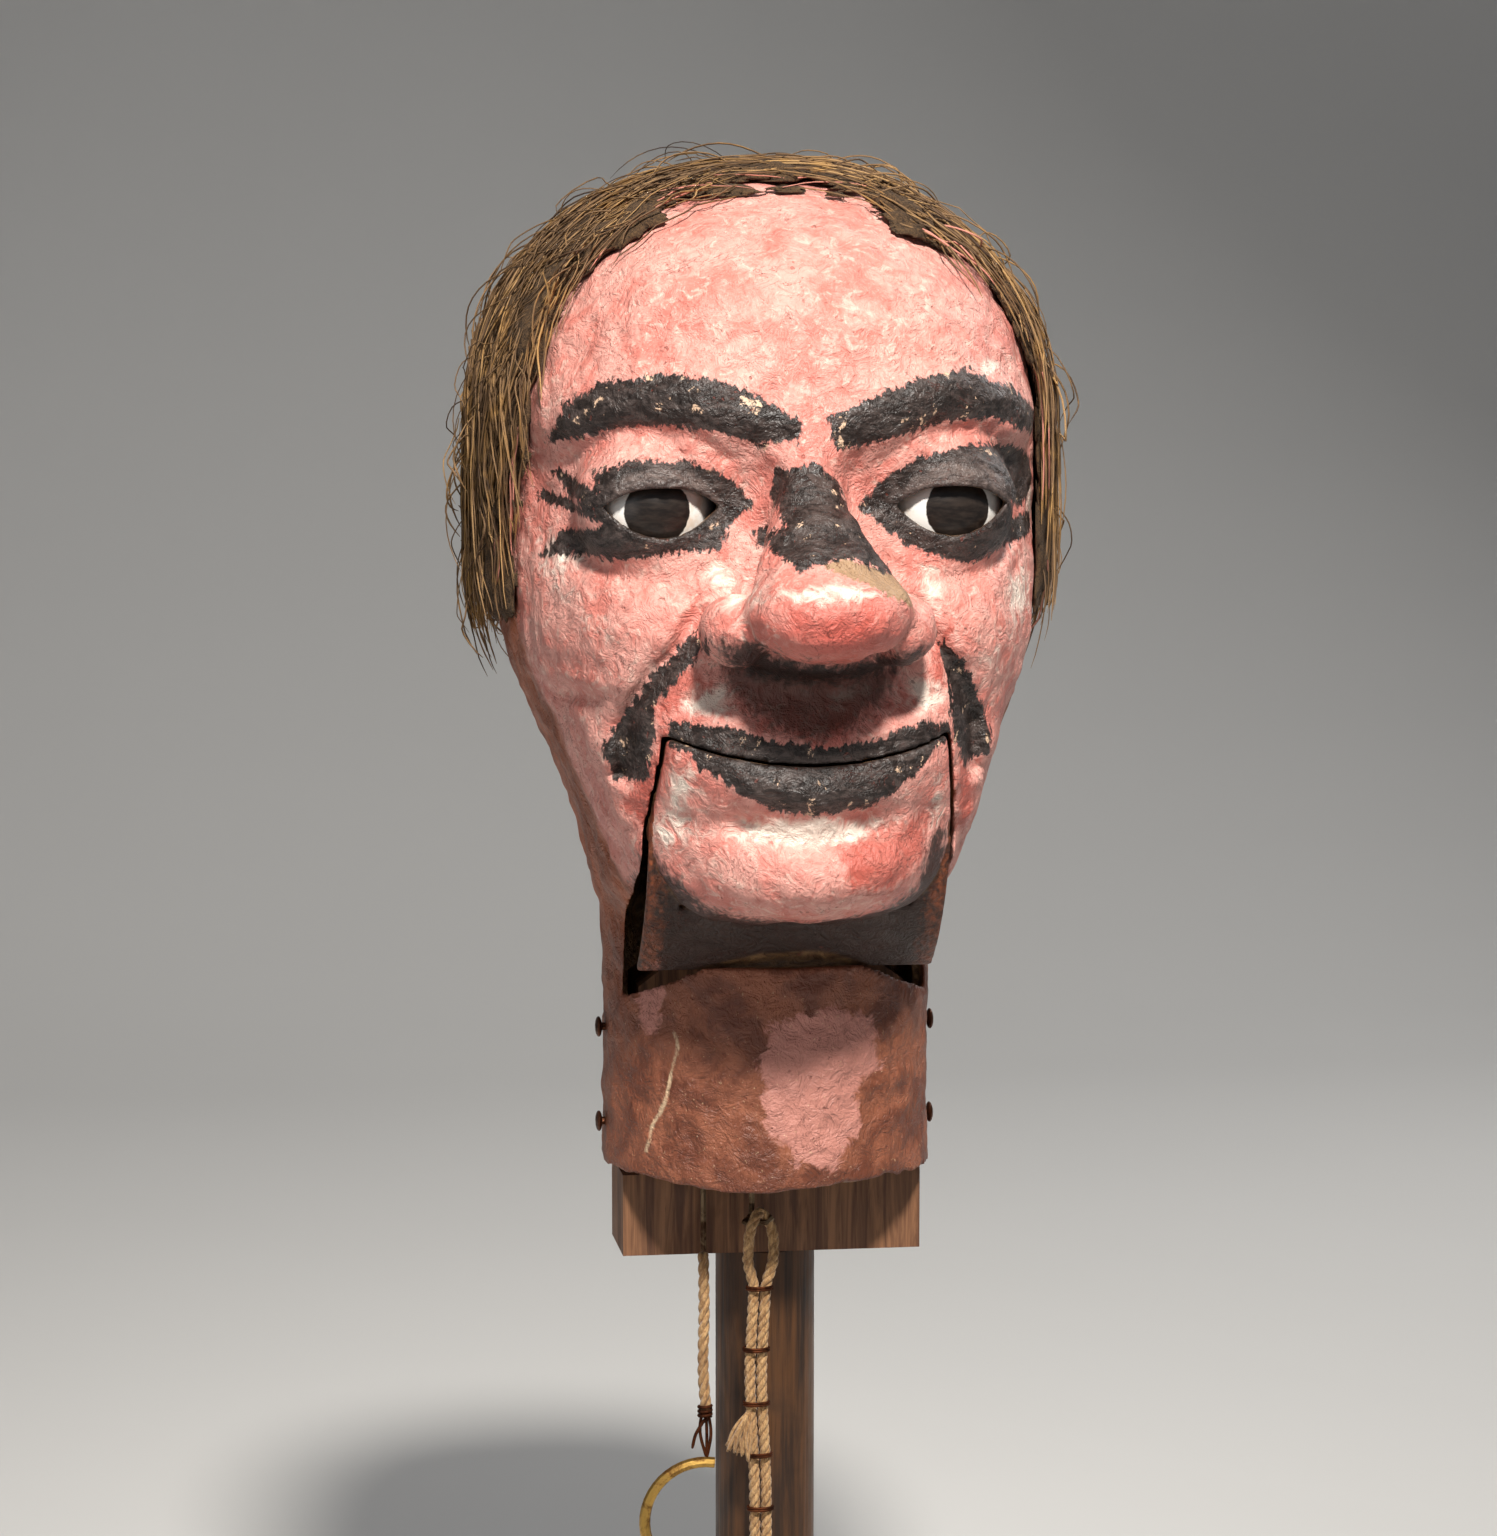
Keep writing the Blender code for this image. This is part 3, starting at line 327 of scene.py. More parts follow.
def plain_head(grid):
    """Roughly the distance from the head's surface without its features."""
    z = grid.z
    front, width, back = (station_profile(z, column) for column in (1, 2, 3))
    middle = np.where(z < 300, 0, np.minimum(8, (z - 300) / 4))
    boxy = 2 + 0.35 * ramp(z, 280, 296)
    depth = np.where(grid.y < middle, middle - front, back - middle)
    field = ((np.abs(grid.x) / width) ** boxy + (np.abs(grid.y - middle) / depth) ** boxy) ** (1 / boxy)
    up = np.maximum(z - DOME_FOOT, 0) / DOME_HEIGHT
    field = (field**DOME_CURVE + up**DOME_CURVE) ** (1 / DOME_CURVE) - 1
    slope = np.sqrt(sum(g * g for g in np.gradient(field, grid.step)))
    return (field / np.maximum(slope, 0.006)).astype(np.float32)


def front_view(grid):
    """X and Z of the grid, spread over both, for the outlines drawn from the front."""
    return grid.x + 0 * grid.z, grid.z + 0 * grid.x


def mound(x, z, place, size, amount):
    return amount * np.exp(-(((x - place[0]) / size[0]) ** 2) - ((z - place[1]) / size[1]) ** 2)


def groove(x, z, line, width, amount):
    return amount * np.exp(-((np.maximum(stroke_field(x, z, line, 0), 0) / width) ** 2))


def mirrored(points):
    return [(-x, z) for x, z in points]


def face_relief(x, z):
    """How far the face stands proud of the plain head, seen from the front."""
    total = mound(x, z, (0, 333), (5, 7), -0.7)
    total += mound(x, z, (0, 328), (26, 6), 1.5) + mound(x, z, (0, 292), (20, 8), 3)
    total += mound(x, z, (1, 398), (3.5, 9), -0.9)
    total += groove(x, z, [(-17, 306), (0, 301.5), (17, 306)], 4, -2.0)
    total += groove(x, z, LOWER_LIP_MIDDLE, 5.5, 2.6)
    total += groove(x, z, [(-24, 331.5), (0, 325.5), (26, 330.5)], 2.6, 1.2)
    total += mound(x, z, (-51, 334.5), (4, 3), -2.0) + mound(x, z, (-47, 338), (6, 2.5), 0.8)
    for side in (-1, 1):
        at = side * x
        total += mound(at, z, (34.5, 381), (15, 10), -5.0) + mound(at, z, (16, 384), (6, 10), -2.2)
        total += groove(at, z, [(8, 399), (24, 405), (38, 407), (56, 400)], 6.5, 2.7)
        total += mound(at, z, (41, 350), (15, 14), 5.2) + mound(at, z, (57, 384), (7, 14), -1.6)
        total += groove(at, z, FOLD_LINE, 2.6, -3.0)
        total += groove(at, z, [(47, 322), (43, 306)], 5, 1.6)
        total += groove(at, z, [(19, 367), (30, 362.5), (44, 364), (53, 370)], 2.2, -1.1)
        total += groove(at, z, [(18, 391), (28, 397), (43, 397.5), (53, 390)], 2.2, -1.2)
        total += mound(at, z, (30, 430), (18, 10), 1.2)
        total += groove(at, z, [(10, 388), (13, 376), (21, 364), (27, 355)], 3.0, -1.1)
    return total


MOUTH_LINE = [(-33, 326.5), (-22, 323.2), (-11, 321.2), (0, 320.5), (11, 321.2), (22, 323.2), (33, 326.5)]
LOWER_LIP_MIDDLE = [(-27, 321), (-15, 316.5), (0, 314.5), (15, 316.5), (27, 321)]
FOLD_LINE = [(25, 355), (31, 347), (38, 338), (41.5, 328), (42, 317)]
JAW_SIDES = [(36.5, 302), (33.5, 293), (28, 285), (21, 280.5), (12, 277.5)]
SLOT_SIDES = [(36.5, 302), (36.5, 266.5)]
SLOT_GAP, SLOT_LIP_GAP = 1.0, 0.7
SKIRT_RADIUS, SKIRT_HALF_WIDTH = 61.4, 36.3
SWEEP_RADIUS, SWEEP_HALF_WIDTH = 63.3, 37.5  # the room in the head that the skirt turns through

NOSE_BALLS = (
    ((0, -66, 400), (6, 6, 7)),
    ((0, -69, 391), (7, 7.5, 8)),
    ((0, -74, 381), (8.5, 9, 8)),
    ((0.3, -80, 373), (11.5, 11.5, 9)),
    ((0.6, -87, 365.5), (15, 14.5, 10)),
    ((1.0, -93.5, 357.5), (19, 17, 12)),
    ((0.5, -77, 347), (15, 9, 6)),
)
NOSTRIL_BALL = ((18, -81.5, 352.5), (9.5, 12.5, 8.5))


def egg(x, y, z, centre, radii):
    """Roughly the distance from an ellipsoid."""
    parts = [(x - centre[0]) / radii[0], (y - centre[1]) / radii[1], (z - centre[2]) / radii[2]]
    near = np.sqrt(sum(p * p for p in parts)) + 1e-6
    slope = np.sqrt(sum((p / r) ** 2 for p, r in zip(parts, radii))) + 1e-6
    return near * (near - 1) / slope


def from_centre(x, y, z, centre):
    return np.sqrt((x - centre[0]) ** 2 + (y - centre[1]) ** 2 + (z - centre[2]) ** 2)


def add_nose(grid, field):
    cut, x, y, z = grid.patch((-36, -118, 330), (36, -50, 412))
    nose = egg(x, y, z, *NOSE_BALLS[0])
    for centre, radii in NOSE_BALLS[1:]:
        nose = smooth_min(nose, egg(x, y, z, centre, radii), 4)
    for side in (-1, 1):
        (across, deep, high), radii = NOSTRIL_BALL
        nose = smooth_min(nose, egg(x, y, z, (side * across + 0.5, deep, high), radii), 3)
    blended = smooth_min(field[cut], nose, 6)
    for side in (-1, 1):
        nostril = egg(x, y, z, (side * 11 + 0.5, -91, 345.5), (5, 6.5, 4))
        blended = smooth_max(blended, -nostril, 3)
    field[cut] = blended


def add_lids(grid, field):
    """The bulges over the eyeballs, of which the upper lid stands further out than the lower one."""
    for centre in EYE_CENTRES.values():
        cut, x, y, z = grid.patch(np.subtract(centre, 27), np.add(centre, 27))
        upper = ramp(z, centre[2] - 1, centre[2] + 3)
        lid = from_centre(x, y, z, centre) - LID_RADIUS - UPPER_LID_RISE * upper
        field[cut] = smooth_min(field[cut], lid, 4)


def eye_opening(x, z, centre):
    """Negative inside the gap between an eye's lids, whose upper edge is the flatter one."""
    across = (x - centre[0] - 0.9) / GAP_HALF_WIDTH
    top = LID_CORNER_Z + UPPER_GAP * (1 - np.abs(across) ** 2.6)
    bottom = LID_CORNER_Z - LOWER_GAP * (1 - np.abs(across) ** 2)
    return np.maximum(z - top, bottom - z)


def roughen(grid, field):
    """Lumps and creases of papier-mache, down to a few millimetres wide, near the surface only."""
    near = np.abs(field) < 7
    points = grid.points(near)
    bumps = 0.75 * noise(points, 11, 1) + 0.55 * noise(points, 5, 2)
    ridges = 1 - np.abs(noise(points, 6.5, 3)) * 2
    bumps = bumps + 0.32 * ridges + 0.32 * noise(points, 2.5, 4)
    calm = 0.35 + 0.65 * ramp(points[:, 2], 205, 230)
    eye = np.minimum(*(np.linalg.norm(points - centre, axis=1) for centre in EYE_CENTRES.values()))
    calm = calm * (0.25 + 0.75 * ramp(eye, 17, 24))
    field[near] -= (bumps * calm * 0.9).astype(np.float32)


def jaw_outline(side_gap, lip_gap, lower):
    """The slot jaw's outline seen from the front, its mouth line first."""
    mouth = [(x * (33 + side_gap) / 33, z + lip_gap) for x, z in MOUTH_LINE]
    right = [(x + side_gap, z) for x, z in lower]
    return mouth + right + mirrored(right)[::-1]


def round_axis(grid):
    """Distance from the jaw's axis."""
    return np.sqrt(grid.y**2 + (grid.z - JAW_AXIS_Z) ** 2)


def head_shell_field(grid, outer):
    """The papier-mache wall with its slot for the jaw, seats for the eyes, hatch hole and neck rim."""
    field = smooth_max(outer, -(outer + WALL), 0.8)
    slot = polygon_field(*front_view(grid), jaw_outline(SLOT_GAP, SLOT_LIP_GAP, SLOT_SIDES))
    slot = np.maximum(slot, grid.y + 25)
    angle_line = (grid.z - JAW_AXIS_Z + 10) - (grid.y + 12.5) * 0.22
    sweep = np.maximum(round_axis(grid) - SWEEP_RADIUS, np.abs(grid.x) - SWEEP_HALF_WIDTH)
    sweep = np.maximum(sweep, np.maximum(grid.y + 10, angle_line))
    field = np.maximum(field, -slot)
    field = np.maximum(field, -sweep)
    for centre in EYE_CENTRES.values():
        cut, x, y, z = grid.patch(np.subtract(centre, 26), np.add(centre, 26))
        seat = from_centre(x, y, z, centre) - EYE_RADIUS - 0.7
        gap = np.maximum(eye_opening(x, z, centre), y + 55)
        field[cut] = np.maximum(smooth_max(field[cut], -gap, 1.0), -seat)
    hatch = np.maximum(np.abs(grid.x) - HATCH_HALF[0], np.abs(grid.z - HATCH_Z) - HATCH_HALF[1])
    field = np.maximum(field, -np.maximum(hatch, 60 - grid.y))
    flat = np.stack(np.broadcast_arrays(grid.x, grid.y, 0 * grid.x), axis=-1).reshape(-1, 3)
    ragged = NECK_RIM_Z + 1.6 * noise(flat, 17, 7) + 0.9 * noise(flat, 5, 8)
    return np.maximum(field, ragged.reshape(grid.count[0], grid.count[1], 1) - grid.z)


def jaw_field(grid, outer):
    """The chin and lower lip with the throat skirt behind them."""
    shell = smooth_max(outer, -(outer + WALL), 0.8)
    front = polygon_field(*front_view(grid), jaw_outline(0, 0, JAW_SIDES))
    chin = smooth_max(shell, np.maximum(front, grid.y + 45.5), 0.8)
    radius = round_axis(grid)
    degrees = np.degrees(np.arctan2(JAW_AXIS_Z - grid.z, -grid.y))
    start = np.where(np.abs(grid.x) > 28, 16, 34)
    arc = np.maximum(start - degrees, degrees - 57.5) * radius * np.pi / 180
    band = np.maximum(np.abs(radius - SKIRT_RADIUS) - 1.1, np.abs(grid.x) - SKIRT_HALF_WIDTH)
    return np.minimum(chin, np.maximum(band, arc))


# --- The paint's outlines, seen from the front in mm ----------------------------------------------

BROW_LEFT = [(-58, 394), (-55, 403), (-47, 409), (-34, 411), (-21, 410), (-11, 406), (-2, 400)]
BROW_LEFT += [(-3, 395.5), (-12, 395), (-22, 398), (-33, 399), (-43, 398.5), (-51, 395.5)]
BROW_RIGHT = [(4, 401), (14, 405.5), (27, 410), (39, 412), (53, 407), (63, 400), (64, 394), (55, 397)]
BROW_RIGHT += [(46, 400), (36, 400), (25, 397.5), (14, 394.5), (6, 393.5)]
EYE_RING_LEFT = [(-49, 388), (-41, 391), (-27, 391), (-18, 387), (-12.5, 381), (-18, 376), (-20, 370.5)]
EYE_RING_LEFT += [(-31, 369.5), (-43, 367.5), (-50, 368), (-59, 367), (-55, 373), (-47, 376), (-52, 378)]
EYE_RING_LEFT += [(-60, 380), (-58.5, 383), (-52, 380.5), (-56.5, 387), (-55, 388), (-49, 384)]
EYE_RING_RIGHT = [(12.5, 380), (19, 387), (28, 392), (42, 394.5), (54, 393), (63, 389), (65, 383), (58, 377)]
EYE_RING_RIGHT += [(50, 381), (54, 375.5), (64, 376), (67, 373), (64, 371), (51, 369), (39, 366)]
EYE_RING_RIGHT += [(24, 370.5)]
BRIDGE_PATCH = [(-8, 389), (1, 391), (6, 387), (9, 380), (14, 371), (20, 365.5), (12, 367.5), (5, 370.5)]
BRIDGE_PATCH += [(-3, 369.5), (-6, 367.5), (-11, 371), (-13, 374.5), (-8, 377), (-9, 383)]
FOLD_LEFT = [(-26, 352), (-25, 347), (-31, 340), (-36, 333), (-36, 327), (-37, 316), (-44, 315), (-47, 323)]
FOLD_LEFT += [(-42, 331), (-36, 341)]
FOLD_RIGHT = [(31, 350), (38, 343), (44, 332), (47, 325), (46, 320), (39, 318), (35, 326), (34, 337)]
UPPER_LIP = [(-33, 331), (-20, 330), (-8, 326.5), (3, 325), (15, 327), (27, 331), (35, 328)]
UPPER_LIP += [(33, 325), (18, 320), (0, 318), (-18, 320), (-33, 325)]
LOWER_LIP = [(-32, 328), (-27, 321), (-20, 316), (-11, 311), (0, 309), (13, 311), (21, 315.5), (28, 321.5)]
LOWER_LIP += [(33, 328), (18, 325.5), (0, 323), (-18, 325.5)]
# Dark smudges on the chin and round the nostrils, which also stand in as painted shade on the chin's
# underside and painted shadow under the nose
JAW_SMUDGE_AND_SHADE = [(-37, 300), (-31, 293), (-24, 286), (-12, 282.5), (3, 281.5), (18, 284.5), (26, 289)]
JAW_SMUDGE_AND_SHADE += [(30, 301), (33, 306), (35, 296), (38, 285), (20, 275), (-20, 273), (-38, 287)]
NOSE_SMUDGE_AND_SHADOW = [(-25, 352), (-15, 351), (-9, 347), (4, 344.5), (14, 347), (25, 350), (22, 343), (8, 340)]
NOSE_SMUDGE_AND_SHADOW += [(-8, 340), (-20, 344)]
# Painted shadow on the philtrum, where the nose's shadow falls
PHILTRUM_SHADOW = [(-21, 345), (22, 345), (18, 336), (9, 329), (0, 326.5), (-9, 329), (-18, 336)]
BLACK_SHAPES = [BROW_LEFT, BROW_RIGHT, EYE_RING_LEFT, EYE_RING_RIGHT, BRIDGE_PATCH, FOLD_LEFT, FOLD_RIGHT]
BLACK_SHAPES += [UPPER_LIP, LOWER_LIP]
LID_SHAPES = [
    [(-46, 381), (-44, 386), (-36, 389.5), (-28, 389), (-22, 385), (-19.5, 380), (-33, 377)],
    [(22, 380.5), (25, 386), (33, 390), (42, 390), (48, 386), (50, 380), (36, 377)],
]
NECK_PATCH = [(-6, 241), (-3, 250), (8, 255), (20, 252), (22, 241), (16, 237), (17, 226), (11, 218)]
NECK_PATCH += [(3, 220), (-3, 227)]
OLIVE_PATCH = [(-1, 369), (3, 371), (12, 368), (19, 365), (21, 358), (18, 360), (8, 365), (3, 367)]
RED_SHAPES = [
    [(-36, 303), (-43, 309), (-37, 319), (-34, 331), (-31, 327), (-35, 314)],
    [(37, 321), (43, 312), (41, 301), (38, 303)],
    [(-35, 332), (-30, 334), (-23, 339), (-31, 346), (-34, 338)],
    [(34, 352), (30, 346), (29, 336), (33, 340)],
    [(6, 301), (20, 306), (30, 309), (28, 298), (20, 291), (9, 291)],
]
# Every painted colour that has a sharp edge, with its outlines; the philtrum's dark is painted shadow
PAINTED = {
    "black": BLACK_SHAPES,
    "lid": LID_SHAPES,
    "philtrum": [PHILTRUM_SHADOW],
    "olive": [OLIVE_PATCH],
    "red": RED_SHAPES,
}
SEAM_LINE = [(-27, 250), (-26, 246), (-29, 232), (-32, 225), (-33, 219)]
# White ground showing through the salmon; the wide thin spot across the nose's top is a painted highlight
WHITE_SPOTS_AND_NOSE_HIGHLIGHT = (
    # across, height, wide, high, how strong
    (-56, 366, 5, 9, 0.8), (-20, 362, 4, 10, 0.75), (-14, 352, 3, 8, 0.6), (55, 357, 7, 9, 0.95),
    (30, 362, 4, 11, 0.75), (48, 342, 8, 7, 0.6), (-24, 336, 8, 4.5, 1.2), (28, 336, 6, 5, 1.1),
    (0, 305, 24, 4, 1.3), (-30, 316, 4, 8, 0.9), (31, 313, 3, 8, 0.7), (-33, 303, 5, 6, 0.7),
    (-16, 386, 3, 8, 0.55), (17, 377, 3, 7, 0.5), (0, 363, 15, 2.6, 1.0), (46, 412, 5, 3, 0.9),
    (30, 423, 5, 4, 0.5), (-47, 352, 9, 8, 0.45), (-8, 425, 14, 8, 0.35), (-20, 413, 14, 4, 0.35),
    (40, 385, 20, 3, 0.3), (63, 378, 3, 9, 0.9), (-36, 367, 14, 3, 0.4), (9, 337, 12, 4, 0.6),
)


def paint_attributes(obj, vertices, depth):
    """What the skin material reads: signed distances from painted edges, and shares from 0 to 1."""
    x, y, z = vertices.T
    front = ramp(-y, 8, 22)
    behind = (1 - front) * 30

    def inside(shapes):
        return -(np.min([polygon_field(x, z, shape) for shape in shapes], axis=0) + behind)

    for name, shapes in PAINTED.items():
        give_attribute(obj, name, inside(shapes))
    # The throat skirt under the chin is painted near black and brown, as painted shade
    under_chin = (np.hypot(y, z - JAW_AXIS_Z) < 63.2) & (y < -28) & (z > 262) & (np.abs(x) < 36.6)
    skirt_middle = ramp(28 - np.abs(x), -6, 6) * 9
    give_attribute(obj, "smudge", np.where(under_chin, skirt_middle, inside([JAW_SMUDGE_AND_SHADE, NOSE_SMUDGE_AND_SHADOW])))
    # White ground showing through, with a painted highlight along the top of the nose
    white = sum(mound(x, z, (a, b), (c, d), e) for a, b, c, d, e in WHITE_SPOTS_AND_NOSE_HIGHLIGHT) * front
    give_attribute(obj, "white", white)
    nose = np.exp(-(((x - 1) / 17) ** 2) - ((z - 354) / 9) ** 2) * ramp(-y, 84, 92)
    give_attribute(obj, "nose", nose)
    # Brown on the head's sides behind the cheeks is painted shade, where the head turns from the light; the
    # share also covers the neck
    side = ramp(y - 0.3 * (z - 330), -40, -14) * (1 - ramp(z, 362, 395)) + 1 - ramp(z, 262, 286)
    give_attribute(obj, "side", np.clip(side + under_chin, 0, 1))
    give_attribute(obj, "neck", 1 - ramp(z, 262, 282))
    patch = np.exp(-np.maximum(polygon_field(x, z, NECK_PATCH) + 2, 0) / 5) * ramp(-y, 20, 30)
    give_attribute(obj, "neckpink", patch + mound(x, z, (-32, 258), (5, 14), 0.75) * ramp(-y, 0, 14))
    give_attribute(obj, "seam", -(stroke_field(x, z, SEAM_LINE, 0.25) + behind))
    give_attribute(obj, "inside", ramp(depth, 0.9, 2.2))


# --- Materials ------------------------------------------------------------------------------------


class Nodes:
    """A short way to write a material's nodes."""

    def __init__(self, name):
        self.material = bpy.data.materials.new(name)
        self.material.use_nodes = True
        self.tree = self.material.node_tree
        self.shader = self.tree.nodes["Principled BSDF"]
        self.place = self.tree.nodes.new("ShaderNodeTexCoord").outputs["Object"]

    def feed(self, socket, value):
        if isinstance(value, bpy.types.NodeSocket):
            self.tree.links.new(value, socket)
        elif hasattr(socket.default_value, "__len__") and not hasattr(value, "__len__"):
            socket.default_value = (value,) * len(socket.default_value)
        elif hasattr(socket.default_value, "__len__") and len(socket.default_value) == 4:
            socket.default_value = (*value, 1)
        else:
            socket.default_value = value

    def set(self, **sockets):
        for name, value in sockets.items():
            self.feed(self.shader.inputs[name.replace("_", " ")], value)

    def math(self, operation, a, b=0.0, c=0.0):
        node = self.tree.nodes.new("ShaderNodeMath")
        node.operation = operation
        for socket, value in zip(node.inputs, (a, b, c)):
            self.feed(socket, value)
        return node.outputs[0]

    def times(self, a, b):
        return self.math("MULTIPLY", a, b)

    def plus(self, a, b):
        return self.math("ADD", a, b)

    def minus(self, a, b):
        return self.math("SUBTRACT", a, b)

    def scaled(self, value, factor, offset):
        return self.math("MULTIPLY_ADD", value, factor, offset)

    def mix(self, share, a, b):
        node = self.tree.nodes.new("ShaderNodeMix")
        node.data_type = "RGBA"
        self.feed(node.inputs["Factor"], share)
        self.feed(node.inputs[6], a)
        self.feed(node.inputs[7], b)
        return node.outputs[2]

    def stretch(self, scale):
        node = self.tree.nodes.new("ShaderNodeMapping")
        self.feed(node.inputs["Vector"], self.place)
        node.inputs["Scale"].default_value = scale
        return node.outputs[0]

    def noise(self, size_mm, detail=3, rough=0.55, distort=0.0, along=(1, 1, 1)):
        """Noise with bumps about size_mm wide, or stretched by along."""
        node = self.tree.nodes.new("ShaderNodeTexNoise")
        self.feed(node.inputs["Vector"], self.place if along == (1, 1, 1) else self.stretch(along))
        node.inputs["Scale"].default_value = 1000 / size_mm
        node.inputs["Detail"].default_value = detail
        node.inputs["Roughness"].default_value = rough
        node.inputs["Distortion"].default_value = distort
        return node.outputs["Fac"]

    def range(self, value, low, high, to_low=0.0, to_high=1.0):
        node = self.tree.nodes.new("ShaderNodeMapRange")
        node.interpolation_type = "SMOOTHSTEP"
        for name, number in (("From Min", low), ("From Max", high), ("To Min", to_low), ("To Max", to_high)):
            node.inputs[name].default_value = number
        self.feed(node.inputs["Value"], value)
        return node.outputs["Result"]

    def attribute(self, name):
        node = self.tree.nodes.new("ShaderNodeAttribute")
        node.attribute_name = name
        return node.outputs["Fac"]

    def bump(self, height, distance_mm, strength=1.0, after=None):
        node = self.tree.nodes.new("ShaderNodeBump")
        node.inputs["Strength"].default_value = strength
        node.inputs["Distance"].default_value = distance_mm * MM
        self.feed(node.inputs["Height"], height)
        if after is not None:
            self.feed(node.inputs["Normal"], after)
        return node.outputs[0]


def srgb(red, green, blue):
    """A colour given as it looks on a screen, from 0 to 255, in linear light."""
    shares = (red / 255, green / 255, blue / 255)
    return tuple(((c + 0.055) / 1.055) ** 2.4 if c > 0.04 else c / 12.92 for c in shares)


def brush_edge(n, fine):
    """A function that makes 1 inside a painted shape, its edge roughened as a brush leaves it."""
    bristles = n.noise(1.5, 3, 0.6, 0.5, (1.2, 1, 0.4))

    def edge(attribute, wobble_mm, soft_mm=0.35):
        rough = n.scaled(fine, 2 * wobble_mm, -wobble_mm)
        rough = n.plus(rough, n.scaled(bristles, 2.4 * wobble_mm, -1.2 * wobble_mm))
        return n.range(n.plus(n.attribute(attribute), rough), -soft_mm, soft_mm)

    return edge


def salmon_paint(n, blotch, fine, streak):
    """Pink, rose and cream mottling, redder on the nose, with the white ground showing through and a painted
    highlight on top of the nose.
    """
    pink, rose, cream = srgb(232, 166, 153), srgb(216, 130, 117), srgb(244, 206, 190)
    skin = n.mix(n.range(n.plus(blotch, n.times(streak, 0.55)), 0.62, 0.9), rose, pink)
    skin = n.mix(n.times(n.range(fine, 0.52, 0.68), 0.6), skin, cream)
    skin = n.mix(n.times(n.range(streak, 0.56, 0.66), 0.45), skin, srgb(196, 100, 88))
    skin = n.mix(n.times(n.attribute("nose"), 0.85), skin, srgb(206, 84, 70))
    # White ground and the painted highlight on the nose
    ground_and_highlight = n.plus(n.attribute("white"), n.scaled(streak, 2.0, -1.3))
    return n.mix(n.times(n.range(ground_and_highlight, 0.1, 0.8), 0.9), skin, srgb(250, 234, 218))


def side_shade_and_neck_paint(n, skin, blotch, fine, streak, tiny):
    """Brown on the head's sides as painted shade, and the browner paint of the neck, laid over the salmon.
    """
    cloud = n.range(n.noise(16, 5, 0.6, 0.5, (1, 1, 0.5)), 0.35, 0.65)
    side = n.mix(cloud, srgb(132, 68, 38), srgb(176, 96, 58))
    side = n.mix(n.times(n.range(fine, 0.56, 0.7), 0.5), side, srgb(214, 140, 110))
    # The sides' brown is painted shade
    side_shade_share = n.plus(n.attribute("side"), n.scaled(blotch, 0.8, -0.4))
    skin = n.mix(n.range(side_shade_share, 0.3, 0.8), skin, side)
    neck = n.mix(n.range(blotch, 0.38, 0.62), srgb(112, 62, 44), srgb(158, 96, 70))
    patch = n.plus(n.attribute("neckpink"), n.scaled(streak, 1.0, -0.5))
    neck = n.mix(n.range(patch, 0.42, 0.6), neck, srgb(198, 134, 120))
    neck = n.mix(n.times(n.range(tiny, 0.66, 0.72), 0.5), neck, srgb(224, 190, 150))
    return n.mix(n.attribute("neck"), skin, neck)


def smears_and_painted_shade(n, skin, edge):
    """Red smears, the olive patch on the nose, painted shadow under the nose, dark smudges with painted
    shade under the chin, and the neck's seam.
    """
    skin = n.mix(n.times(edge("red", 3.0, 1.4), 0.72), skin, srgb(188, 78, 62))
    skin = n.mix(edge("olive", 1.6), skin, srgb(172, 138, 106))
    # Painted shadow under the nose
    skin = n.mix(n.times(edge("philtrum", 3.0, 2.5), 0.8), skin, srgb(52, 32, 20))
    # Black smudges on the nostrils and chin, with painted shade under the nose and chin and on the throat
    # skirt
    skin = n.mix(n.times(edge("smudge", 3.0, 2.0), 0.93), skin, srgb(27, 18, 14))
    return n.mix(edge("seam", 0.5), skin, srgb(228, 196, 160))


def ink_strokes(n, skin, fine, edge):
    """The flaking black of brows, eye rings, folds and lips, with the grey lids, and their share."""
    brush = n.noise(5, 5, 0.7, 1.0, (1, 1, 2.4))
    ink = n.mix(n.range(brush, 0.4, 0.66), srgb(38, 30, 27), srgb(84, 72, 68))
    flakes = n.times(n.range(n.noise(5.5, 5, 0.7, 0.3), 0.615, 0.65), n.range(fine, 0.42, 0.5))
    off_lids = n.range(n.attribute("lid"), -2.0, -4.0)
    ink = n.mix(n.times(flakes, off_lids), ink, srgb(226, 190, 160))
    black = edge("black", 1.9)
    lid = n.range(n.attribute("lid"), -0.8, 0.6)
    grey = n.mix(n.range(brush, 0.35, 0.7), srgb(66, 55, 52), srgb(116, 100, 94))
    return n.mix(lid, n.mix(black, skin, ink), grey), n.math("MAXIMUM", black, lid)


